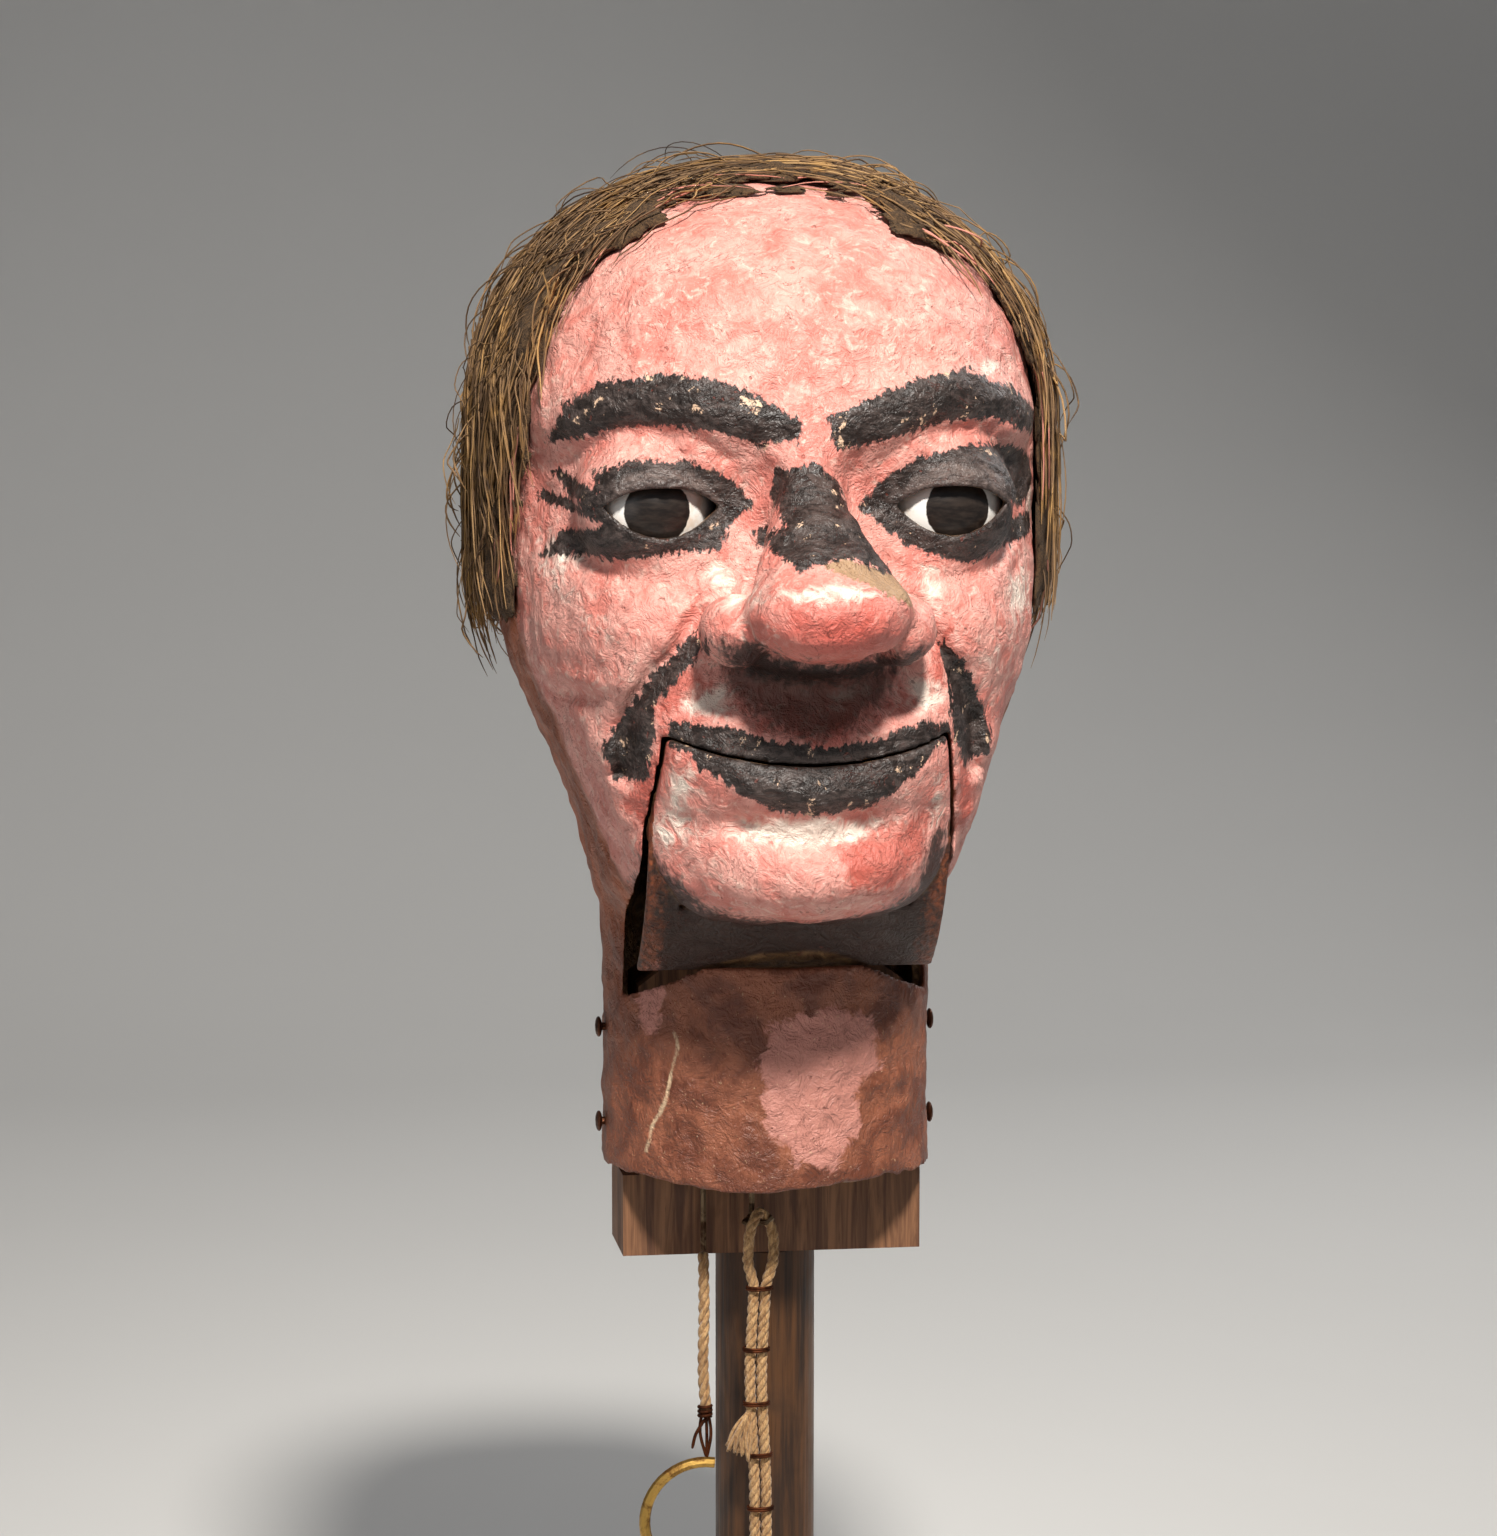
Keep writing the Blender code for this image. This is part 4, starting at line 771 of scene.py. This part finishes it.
def skin_material():
    """Salmon paint over white ground on papier-mache, with black, grey, red and white brushwork."""
    n = Nodes("painted_papier_mache")
    blotch = n.noise(13, 5, 0.6, 0.6)
    fine = n.noise(3.2, 4, 0.65, 0.8)
    streak = n.noise(5.2, 4, 0.62, 1.3)
    tiny = n.noise(0.9, 3, 0.6)
    edge = brush_edge(n, fine)
    skin = salmon_paint(n, blotch, fine, streak)
    skin = side_shade_and_neck_paint(n, skin, blotch, fine, streak, tiny)
    skin = smears_and_painted_shade(n, skin, edge)
    skin, ink_share = ink_strokes(n, skin, fine, edge)
    paper = n.mix(n.range(streak, 0.35, 0.65), srgb(96, 66, 42), srgb(156, 120, 84))
    skin = n.mix(n.attribute("inside"), skin, paper)

    creases = n.math("ABSOLUTE", n.minus(n.noise(7.5, 4, 0.6, 1.8), 0.5))
    creases = n.times(n.range(creases, 0.012, 0.0), n.range(blotch, 0.5, 0.62))
    pits = n.range(n.noise(2.4, 2, 0.5), 0.29, 0.25)
    marks = n.math("MAXIMUM", creases, pits)
    # Creases and pits darkened as painted shade
    skin = n.mix(n.times(marks, 0.5), skin, srgb(128, 64, 52))
    dull = n.range(blotch, 0.3, 0.7, 0.38, 0.54)
    n.set(Base_Color=skin, Roughness=n.scaled(ink_share, -0.06, dull), Specular_IOR_Level=0.45)
    ridges = n.times(n.math("ABSOLUTE", n.minus(streak, 0.5)), -1.6)
    normal = n.bump(n.plus(n.noise(4.6, 4, 0.55, 0.9), ridges), 1.2, 0.8)
    normal = n.bump(n.minus(tiny, n.times(marks, 1.2)), 0.32, 0.7, normal)
    n.set(Normal=normal)
    return n.material


def bare_paper_material():
    """Brown papier-mache that was never painted, with its fibres."""
    n = Nodes("bare_papier_mache")
    shade = n.mix(n.range(n.noise(9, 6, 0.65, 1.0), 0.35, 0.65), srgb(112, 80, 52), srgb(168, 132, 94))
    n.set(Base_Color=shade, Roughness=0.9, Normal=n.bump(n.noise(2.5, 6, 0.7, 1.5), 0.7, 0.8))
    return n.material


def wood_material(name, dark, light, grain_mm=2.2, rough=0.65):
    """Timber whose grain runs up the part."""
    n = Nodes(name)
    grain = n.noise(grain_mm, 5, 0.6, 0.9, (1, 1, 0.06))
    pores = n.noise(0.6, 3, 0.7, 0.0, (1, 1, 0.05))
    wear = n.noise(24, 4, 0.6, 0.4)
    shade = n.mix(n.range(grain, 0.33, 0.66), dark, light)
    shade = n.mix(n.times(n.range(wear, 0.5, 0.72), 0.45), shade, dark)
    shade = n.mix(n.times(n.range(pores, 0.6, 0.72), 0.5), shade, tuple(c * 0.4 for c in dark))
    n.set(Base_Color=shade, Roughness=n.range(wear, 0.3, 0.7, rough - 0.1, rough + 0.12))
    n.set(Normal=n.bump(n.plus(grain, n.times(pores, 0.6)), 0.25, 0.6))
    return n.material


def metal_material(name, colour, tarnish, rough=0.38):
    n = Nodes(name)
    spots = n.range(n.noise(3.5, 5, 0.65, 0.5), 0.42, 0.64)
    n.set(Base_Color=n.mix(spots, colour, tarnish), Metallic=0.92)
    n.set(Roughness=n.scaled(spots, 0.3, rough), Normal=n.bump(n.noise(0.7, 3, 0.6), 0.08, 0.5))
    return n.material


def cord_material():
    n = Nodes("hemp_cord")
    fibre = n.noise(0.7, 4, 0.7, 0.6, (1, 1, 0.4))
    dirt = n.noise(14, 4, 0.6)
    shade = n.mix(n.range(fibre, 0.32, 0.68), srgb(138, 98, 58), srgb(206, 166, 116))
    shade = n.mix(n.times(n.range(dirt, 0.48, 0.7), 0.5), shade, srgb(122, 84, 48))
    n.set(Base_Color=shade, Roughness=0.92, Normal=n.bump(fibre, 0.25, 0.9))
    n.shader.inputs["Sheen Weight"].default_value = 0.25
    return n.material


def hair_material():
    """Matted hemp: mostly grey-brown, with golden and almost black strands."""
    n = Nodes("hemp_hair")
    tone = n.attribute("tone")
    tuft = n.noise(16, 4, 0.6, 0.8)
    shade = n.mix(n.range(tone, 0.0, 0.55), srgb(66, 46, 30), srgb(128, 98, 66))
    shade = n.mix(n.range(tone, 0.55, 1.0), shade, srgb(190, 150, 98))
    shade = n.mix(n.times(n.range(tuft, 0.48, 0.66), 0.55), shade, srgb(172, 128, 66))
    shade = n.mix(n.range(tone, 1.4, 1.6), shade, srgb(206, 136, 118))
    n.set(Base_Color=shade, Roughness=0.75, Normal=n.bump(n.noise(0.8, 3, 0.6), 0.15, 0.6))
    return n.material


def hair_mat_material():
    """The felted layer under the strands."""
    n = Nodes("hemp_mat")
    fibre = n.noise(1.6, 5, 0.75, 2.5)
    shade = n.mix(n.range(fibre, 0.36, 0.64), srgb(52, 36, 22), srgb(112, 84, 54))
    n.set(Base_Color=shade, Roughness=0.9, Normal=n.bump(fibre, 1.2, 0.9))
    return n.material


def eye_material(name, iris_centre):
    """White enamel with a flat charcoal disc for the iris, painted by brush."""
    n = Nodes(name)
    split = n.tree.nodes.new("ShaderNodeSeparateXYZ")
    n.feed(split.inputs[0], n.place)
    across = n.minus(split.outputs[0], iris_centre[0] * MM)
    up = n.minus(split.outputs[2], iris_centre[1] * MM)
    distance = n.math("SQRT", n.plus(n.times(across, across), n.times(up, up)))
    distance = n.plus(distance, n.scaled(n.noise(2.2, 3), 0.9 * MM, -0.45 * MM))
    iris = n.range(distance, 7.9 * MM, 7.6 * MM)
    strokes = n.noise(2.0, 4, 0.7, 0.4, (0.35, 1, 1.6))
    dark = n.mix(n.range(strokes, 0.35, 0.7), srgb(26, 21, 19), srgb(50, 42, 37))
    white = n.mix(n.range(n.noise(6, 4, 0.6), 0.5, 0.72), srgb(250, 247, 242), srgb(232, 214, 196))
    n.set(Base_Color=n.mix(iris, white, dark), Roughness=0.3, Normal=n.bump(strokes, 0.06, 0.5))
    return n.material


# --- Fine tubes: cords, threads and hairs ---------------------------------------------------------


def along_curve(route, spacing):
    """Points every spacing mm along the smooth curve through a route's points."""
    points = np.array(route, dtype=float)
    padded = np.vstack([2 * points[0] - points[1], points, 2 * points[-1] - points[-2]])
    dense = []
    for i in range(len(points) - 1):
        p0, p1, p2, p3 = padded[i : i + 4]
        t = np.linspace(0, 1, 40, endpoint=False)[:, None]
        square = (2 * p0 - 5 * p1 + 4 * p2 - p3) * t**2
        cube = (3 * p1 - p0 - 3 * p2 + p3) * t**3
        dense.append(0.5 * (2 * p1 + (p2 - p0) * t + square + cube))
    dense = np.vstack([*dense, points[-1:]])
    run = np.concatenate([[0], np.cumsum(np.linalg.norm(np.diff(dense, axis=0), axis=1))])
    stops = np.linspace(0, run[-1], max(int(round(run[-1] / spacing)), 2) + 1)
    return np.stack([np.interp(stops, run, dense[:, i]) for i in range(3)], axis=1)


def frames_along(points):
    """Two directions across a line at each of its points, which turn as little as they can."""
    ahead = np.gradient(points, axis=0)
    ahead /= np.linalg.norm(ahead, axis=1, keepdims=True)
    side = np.cross(ahead[0], (0.31, 0.92, 0.24))
    sides = []
    for direction in ahead:
        side = side - direction * (side @ direction)
        side = side / np.linalg.norm(side)
        sides.append(side)
    sides = np.array(sides)
    return sides, np.cross(ahead, sides)


def tubes(lines, radii, sides=6):
    """One closed tube along each line, as points and four-cornered faces with pinched ends."""
    vertices, faces, start = [], [], 0
    turn = np.linspace(0, 2 * np.pi, sides, endpoint=False)
    for line, radius in zip(lines, radii):
        u, v = frames_along(line)
        width = np.broadcast_to(radius, len(line)).copy()
        width[0] *= 0.6
        width[-1] *= 0.6
        ring = line[:, None] + width[:, None, None] * (
            u[:, None] * np.cos(turn)[None, :, None] + v[:, None] * np.sin(turn)[None, :, None]
        )
        vertices.append(ring.reshape(-1, 3))
        count = len(line)
        rows = start + np.arange(count - 1)[:, None] * sides
        a = rows + np.arange(sides)
        b = rows + (np.arange(sides) + 1) % sides
        faces.append(np.stack([a, b, b + sides, a + sides], axis=2).reshape(-1, 4))
        vertices.append(np.stack([line[0], line[-1]]))
        cap_a, cap_b = start + count * sides, start + count * sides + 1
        for j in range(0, sides, 2):
            k, m = (j + 1) % sides, (j + 2) % sides
            faces.append(np.array([[cap_a, start + m, start + k, start + j]]))
            last = start + (count - 1) * sides
            faces.append(np.array([[cap_b, last + j, last + k, last + m]]))
        start += count * sides + 2
    return np.vstack(vertices), np.vstack(faces)


def rope(path, diameter, strands=3, lay_mm=None):
    """Strands twisted round a path."""
    lay_mm = lay_mm or 3.2 * diameter
    u, v = frames_along(path)
    run = np.concatenate([[0], np.cumsum(np.linalg.norm(np.diff(path, axis=0), axis=1))])
    thick = diameter * (0.27 if strands == 3 else 0.3)
    lines = []
    for k in range(strands):
        turn = 2 * np.pi * (run / lay_mm + k / strands)
        offset = (diameter / 2 - thick) * (u * np.cos(turn)[:, None] + v * np.sin(turn)[:, None])
        lines.append(path + offset)
    return lines, [thick] * strands


def ring_round(centre, radii, turns=1.0, pitch=0.5, steps=20):
    """A thread wound round an upright cord."""
    turn = np.linspace(0, 2 * np.pi * turns, int(steps * turns) + 1)
    return np.stack(
        [
            centre[0] + radii[0] * np.cos(turn),
            centre[1] + radii[1] * np.sin(turn),
            centre[2] + pitch * (turn / turn[-1] - 0.5),
        ],
        axis=1,
    )


JAW_CORD_ROUTE = [(-17.7, -15.3, 191.0), (-17.5, -15.2, 176), (-17.8, -15.4, 162), (-17.1, -15.3, 150.5)]
EYE_CORD_ROUTE = [(-3.8, -20.6, 196.6), (-4.4, -20.7, 180), (-5.3, -20.9, 160), (-4.2, -20.8, 135)]
EYE_CORD_ROUTE += [(-4.0, -20.6, 112), (-4.2, -20.5, 96.6)]
BIGHT_ROUTE = [(-7.25, -22.1, 193.5), (-7.0, -22.5, 197), (-6.0, -22.2, 200), (-4.5, -21.0, 201.9)]
BIGHT_ROUTE += [(-2.9, -19.7, 200.9), (-1.3, -18.9, 198), (-0.5, -18.9, 193.5)]


LASHING_HEIGHTS = (182.7, 167.4, 153.4, 140.4, 126.6, 112.0, 99.5)


def make_jaw_cord(hemp, thread):
    """The single cord between the jaw's wire and its finger hook."""
    path = along_curve(JAW_CORD_ROUTE, 0.6)
    jaw_cord = make_object("jaw_cord_rope", *tubes(*rope(path, 3.0)), hemp)
    knot = make_object("jaw_cord_knot", *tubes(*jaw_knot_lines()), thread)
    for piece in (jaw_cord, knot):
        dress(piece, "jaw_pull", "cotton_cord")
    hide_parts("jaw_cord")


def make_eye_cord(hemp, thread):
    """The doubled cord that hangs from the eyes' wire, bound with thread at even steps."""
    path = along_curve(EYE_CORD_ROUTE, 0.6)
    lines, radii = doubled_cord(path)
    eye_cord = make_object("eye_cord_rope", *tubes(lines, radii, 8), hemp)
    places = [path[np.argmin(np.abs(path[:, 2] - z))] for z in LASHING_HEIGHTS]
    middles = [place + [0, 0, dz] for place in places for dz in (-0.3, 0.3)]
    bands = [ring_round(middle, (3.25, 2.3), 1.0, 0.25) for middle in middles]
    lashings = make_object("eye_cord_lashings", *tubes(bands, [0.32] * len(bands), 6), thread)
    tail = make_object("eye_cord_tail", *tubes(*frayed_tail_lines()), hemp)
    arch = rope(along_curve(BIGHT_ROUTE, 0.6), 2.9, 3, 8.0)
    bight = make_object("eye_cord_bight", *tubes(*arch), hemp)
    for piece in (eye_cord, lashings, tail, bight):
        dress(piece, "eye_pull", "cotton_cord")
    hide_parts("eye_cord")


def doubled_cord(path):
    """The eye cord: two cords side by side, spread round a hole at the top."""
    lines, radii = [], []
    for side in (-1, 1):
        middle = path.copy()
        middle[:, 0] += side * (1.45 + 1.9 * ramp(path[:, 2], 182, 191))
        middle[:, 1] += side * 1.8 * ramp(path[:, 2], 186, 196)
        strands, widths = rope(middle, 2.9, 3, 8.0)
        lines += strands
        radii += widths
    return lines, radii


def jaw_knot_lines():
    """Thin string wound round the cord's end and down to the hook's eye."""
    top, low = np.array([-17.3, -15.3, 151.5]), np.array([-16.9, -15.3, 138.2])
    lines = [ring_round(top + [0, 0, -1.1 * k], (1.6, 1.6), 1.0, 0.9) for k in range(3)]
    for k, lean in enumerate((-1.4, 1.2, 0.3)):
        middle = (top + low) / 2 + [lean, (-1) ** k * 0.6, 0]
        lines.append(along_curve([top + [0.4 * lean, 0, 0], middle, low], 1.0))
    lines.append(along_curve([top + [0.6, -0.8, -2], (-19.6, -16.0, 145), (-20.6, -15.6, 141)], 1.0))
    return lines, [0.42] * len(lines), 6


def frayed_tail_lines():
    """Loose ends that leave the eye cord between two lashings and fan out to the left."""
    rng = np.random.default_rng(SEED + 1)
    lines, radii = [], []
    for k in range(22):
        share = k / 21
        start = np.array([-5.6 - 1.2 * share, -20.9, 153.0 - 2 * share])
        end = np.array([-13.5 + 8.0 * share, -21.6 + rng.normal(0, 0.5), 142.6 - 4.2 * share])
        end = end + rng.normal(0, 0.5, 3)
        middle = (start + end) / 2 + [rng.normal(-0.6, 0.5), rng.normal(-0.8, 0.4), rng.normal(0.4, 0.5)]
        lines.append(along_curve([start, middle, end], 1.1))
        radii.append(rng.uniform(0.28, 0.6))
    return lines, radii, 6


# --- Making the pieces ----------------------------------------------------------------------------


def dress(obj, body, slot, *nodes):
    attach(obj, body)
    if nodes:
        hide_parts(*nodes)


def make_casting(name, grid, field, outer, skin):
    """A painted piece of the head, whose depth under the outer surface says where it is bare."""
    vertices, faces = grid.surface(field)
    casting = make_object(name, vertices, faces, skin)
    paint_attributes(casting, vertices, -grid.sample(outer, vertices))
    return casting


STRANDS, QUICK_STRANDS, STRAND_POINTS = 7500, 2500, 11
PAINTED_TONE = 2.0  # strands on the hairline that the skin's paint has caught
HAIRLINE = [(-68, 300), (-68, 352), (-65, 373), (-63, 390), (-61, 403), (-56, 418), (-49, 428), (-40, 436)]
HAIRLINE += [(-29, 444), (-19, 451), (-5, 456), (9, 453), (21, 447), (40, 439), (52, 430), (59, 418)]
HAIRLINE += [(64, 403), (66, 390), (67, 371), (70, 352), (70, 300)]


def bald_field(x, y, z):
    """Negative where the face is bare of hair: inside the hairline, in front of the ears."""
    bare = polygon_field(x + 0 * z, z + 0 * x, HAIRLINE)
    return np.maximum(bare, y + 21 - 5 * ramp(z, 400, 450))


def hair_border(grid, bald):
    """Positive where hair grows: above the nape and outside the hairline, with a ragged border."""
    nape = NAPE_Z + 0.112 * (20 - grid.y)
    edge = np.minimum(bald, grid.z - nape)
    close = edge < 16
    points = grid.points(close)
    edge[close] += (2.6 * noise(points, 14, 9) + 1.3 * noise(points, 4.5, 10)).astype(np.float32)
    return edge


def felt_field(grid, plain, edge):
    """A lumpy cap of felted hemp on the plain head, thinnest over the crown and at its border."""
    thick = 4.6 - 1.8 * ramp(grid.z, 425, 452) + 2.0 * ramp(grid.y, -10, 40)
    cap = np.maximum(plain - (thick * ramp(edge, -1, 9) + 1.0), -(plain - 0.9))
    cap = np.maximum(cap, -edge)
    near = np.abs(cap) < 4
    points = grid.points(near)
    cap[near] += (1.1 * noise(points, 9, 5) + 0.7 * noise(points, 3.4, 6)).astype(np.float32)
    return np.maximum(cap, -(plain - 0.9))


def make_wig(grid, plain, mat_material, strand_material):
    """A felted cap of hemp, and the strands that lie along it."""
    bald = bald_field(grid.x, grid.y, grid.z)
    edge = hair_border(grid, bald)
    vertices, faces = grid.surface(felt_field(grid, plain, edge))
    wig = make_object("hair_mat", vertices, faces, mat_material)
    dress(wig, "head", "hemp_hair", "hair_wig")

    lines, radii, tones = hair_lines(grid, plain, edge, bald, vertices)
    vertices, faces = hair_tubes(lines, radii)
    strands = make_object("hair_strands", vertices, faces, strand_material)
    give_attribute(strands, "tone", np.repeat(tones, lines.shape[1] * 3))
    dress(strands, "head", "hemp_hair")


def comb_direction(up, height, side, lean):
    """The way hair lies: off the crown to its own side, then down and a little back."""
    comb = np.stack([1.4 * side * ramp(height, 380, 452), 0.25 + 0 * side, -1 + 0 * side], axis=1)
    comb += lean[:, None] * np.cross(up, comb)
    comb -= up * np.sum(up * comb, axis=1, keepdims=True)
    return comb / np.maximum(np.linalg.norm(comb, axis=1, keepdims=True), 1e-6)


def strand_points(grid, plain, roots, side, lean, length, lift, waves):
    """Each strand's points: along the head's surface from its root, waving to its sides."""
    swing, start, pitch = waves
    base_height = grid.sample(plain, roots)
    place = roots.copy()
    lines = [place.copy()]
    for k in range(1, STRAND_POINTS):
        share = k / (STRAND_POINTS - 1)
        up = grid.slope(plain, place)
        comb = comb_direction(up, place[:, 2], side, lean)
        place = place + comb * (length / (STRAND_POINTS - 1))[:, None]
        wave = swing * np.sin(start + share * length / pitch * 2 * np.pi)
        place += np.cross(up, comb) * wave[:, None]
        wanted = np.clip(base_height, 1.5, 7.4) + lift * np.sin(share * 2.6 + 0.2)
        place += up * (wanted - grid.sample(plain, place))[:, None] * 0.7
        lines.append(place.copy())
    return np.stack(lines, axis=1)


def hair_lines(grid, plain, edge, bald, mat_vertices):
    """Strands that start on the felt and run round the head and down, with a curl each."""
    rng = np.random.default_rng(SEED + 2)
    count = STRANDS
    outside = mat_vertices[grid.sample(plain, mat_vertices) > 1.8]
    roots = outside[rng.integers(0, len(outside), count)] + rng.normal(0, 0.6, (count, 3))
    stray = rng.random(count) < 0.05
    length = np.where(stray, rng.uniform(14, 34, count), rng.uniform(14, 44, count))
    start = rng.uniform(0, 2 * np.pi, count)
    pitch = rng.uniform(8, 22, count)
    swing = rng.gamma(2.0, 0.42, count) * np.where(stray, 2.0, 1.0)
    lean = rng.normal(0, 0.55, count)
    lift = np.where(stray, rng.uniform(2.0, 7.0, count), rng.uniform(-0.2, 1.1, count))
    parted = np.sign(rng.normal(0, 1, count) + roots[:, 0] / 8)
    side = np.where(np.abs(roots[:, 0]) < 12, parted, np.sign(roots[:, 0]))
    lines = strand_points(grid, plain, roots, side, lean, length, lift, (swing, start, pitch))
    foot = ramp(roots[:, 2], 372, 350)
    reach = np.where(stray, 9.0, rng.gamma(2.0, 1.6, count) * (1 + foot))
    depth_in_hair = grid.sample(edge, lines.reshape(-1, 3)).reshape(count, STRAND_POINTS).min(axis=1)
    kept = depth_in_hair > -reach
    low = np.array(CAD_BOX[0]) / MM - 7
    high = np.array(CAD_BOX[1]) / MM + 7
    kept &= np.all((lines > low) & (lines < high), axis=(1, 2))
    radii = rng.uniform(0.13, 0.3, count)
    tones = rng.beta(2.0, 2.6, count)
    by_hairline = np.abs(grid.sample(bald, roots)) < 3.5
    tones[by_hairline & (rng.random(count) < 0.3)] = PAINTED_TONE
    return lines[kept], radii[kept], tones[kept]


def hair_tubes(lines, radii):
    """Three-sided hairs, all at once: they have the same number of points."""
    count, steps, _ = lines.shape
    ahead = np.gradient(lines, axis=1)
    ahead /= np.maximum(np.linalg.norm(ahead, axis=2, keepdims=True), 1e-6)
    side = np.cross(ahead, np.array([0.31, 0.92, 0.24]))
    side /= np.maximum(np.linalg.norm(side, axis=2, keepdims=True), 1e-6)
    other = np.cross(ahead, side)
    taper = np.concatenate([[0.7], np.full(steps - 3, 1.0), [0.75, 0.3]])
    width = (radii[:, None] * taper[None])[:, :, None]
    rings = [lines + width * (side * np.cos(a) + other * np.sin(a)) for a in (0, 2.094, 4.189)]
    vertices = np.stack(rings, axis=2).reshape(-1, 3)
    start = (np.arange(count)[:, None] * steps + np.arange(steps - 1)[None]) * 3
    quads = []
    for a, b in ((0, 1), (1, 2), (2, 0)):
        quads.append(np.stack([start + a, start + b, start + b + 3, start + a + 3], axis=2).reshape(-1, 4))
    return vertices, np.vstack(quads)


def ball(centre, radius, rings=48, around=72):
    """A closed sphere, as points and four-cornered faces."""
    tilt = np.linspace(0, np.pi, rings + 1)[1:-1, None]
    turn = np.linspace(0, 2 * np.pi, around, endpoint=False)[None]
    parts = (np.sin(tilt) * np.cos(turn), np.sin(tilt) * np.sin(turn), np.cos(tilt) + 0 * turn)
    shell = np.stack(parts, axis=2).reshape(-1, 3)
    vertices = np.array(centre) + radius * np.vstack([shell, [[0, 0, 1], [0, 0, -1]]])
    row = np.arange(rings - 2)[:, None] * around
    a, b = row + np.arange(around), row + (np.arange(around) + 1) % around
    quads = np.stack([a, a + around, b + around, b], axis=2).reshape(-1, 4)
    caps = []
    top, bottom, last = len(shell), len(shell) + 1, (rings - 2) * around
    for j in range(0, around, 2):
        k, m = (j + 1) % around, (j + 2) % around
        caps += [[top, j, k, m], [bottom, last + m, last + k, last + j]]
    return vertices, np.vstack([quads, caps])


def make_eyes():
    """Finer eyeballs than the CAD ones, each with its painted iris."""
    for side, centre in EYE_CENTRES.items():
        mat = eye_material(f"{side}_eye_enamel", (centre[0] + IRIS_OFFSETS[side], IRIS_Z))
        eyeball = make_object(f"{side}_eyeball_painted", *ball(centre, EYE_RADIUS), mat)
        dress(eyeball, f"{side}_eye", "eye_paint", f"eyeball_{side}")


def finish_cad_materials():
    """Gives every CAD node that stays its material."""
    by_slot = {
        "pine": wood_material("pine", srgb(86, 54, 36), srgb(146, 102, 70)),
        "stained_pole": wood_material("stained_pole", srgb(44, 26, 13), srgb(92, 58, 29), 3.0, 0.5),
        "steel_wire": metal_material("steel_wire", srgb(128, 108, 84), srgb(74, 50, 34)),
        "brass": metal_material("brass", srgb(186, 148, 78), srgb(112, 78, 40)),
        "raw_paper": bare_paper_material(),
        "mouth_paint": wood_material("mouth_card", srgb(60, 18, 16), srgb(96, 30, 26), 4.0, 0.7),
    }
    rusty = metal_material("rusty_tack", srgb(94, 58, 40), srgb(60, 36, 24))
    slots = {row["node"]: row["material_slot"] for row in frame["record"]["subparts"]}
    for name, obj in NODES.items():
        mat = rusty if name.startswith("neck_tack") else by_slot.get(slots.get(name))
        if mat is not None:
            for slot in obj.material_slots:
                slot.material = mat


def make_floor():
    """A pale sweep: floor, curve and wall in one sheet."""
    n = Nodes("pale_studio_paper")
    n.set(Base_Color=n.mix(n.noise(400, 2), (0.66, 0.65, 0.63), (0.70, 0.69, 0.67)), Roughness=0.95)
    profile = [(-2.5, 0.0), (1.2, 0.0)]
    profile += [(1.2 + 0.6 * np.sin(a), 0.6 - 0.6 * np.cos(a)) for a in np.radians(np.arange(10, 91, 10))]
    profile += [(1.8, 3.2)]
    vertices = [(x, y, z) for y, z in profile for x in (-4.0, 4.0)]
    quads = [[2 * i, 2 * i + 1, 2 * i + 3, 2 * i + 2] for i in range(len(profile) - 1)]
    floor = make_object("studio_floor", np.array(vertices) / MM, np.array(quads), n.material)


def main():
    add_camera()
    hemp_cord = cord_material()
    thread = metal_material("waxed_thread", srgb(96, 52, 30), srgb(60, 34, 22), 0.6)
    make_jaw_cord(hemp_cord, thread)
    make_eye_cord(hemp_cord, thread)
    add_studio()
    make_floor()

    grid = Grid(0.9)
    plain = plain_head(grid)
    outer = plain.copy()
    front = ramp(-grid.y, 6, 34)
    outer -= (face_relief(*front_view(grid)) * front).astype(np.float32)
    add_lids(grid, outer)
    add_nose(grid, outer)
    roughen(grid, outer)

    skin = skin_material()
    head = make_casting("head_casting", grid, head_shell_field(grid, outer), outer, skin)
    dress(head, "head", "flesh_paint", "face_shell", "back_shell")
    jaw = make_casting("jaw_casting", grid, jaw_field(grid, outer), outer, skin)
    dress(jaw, "jaw", "jaw_paint", "jaw_shell")
    make_wig(grid, plain, hair_mat_material(), hair_material())
    make_eyes()
    finish_cad_materials()


main()
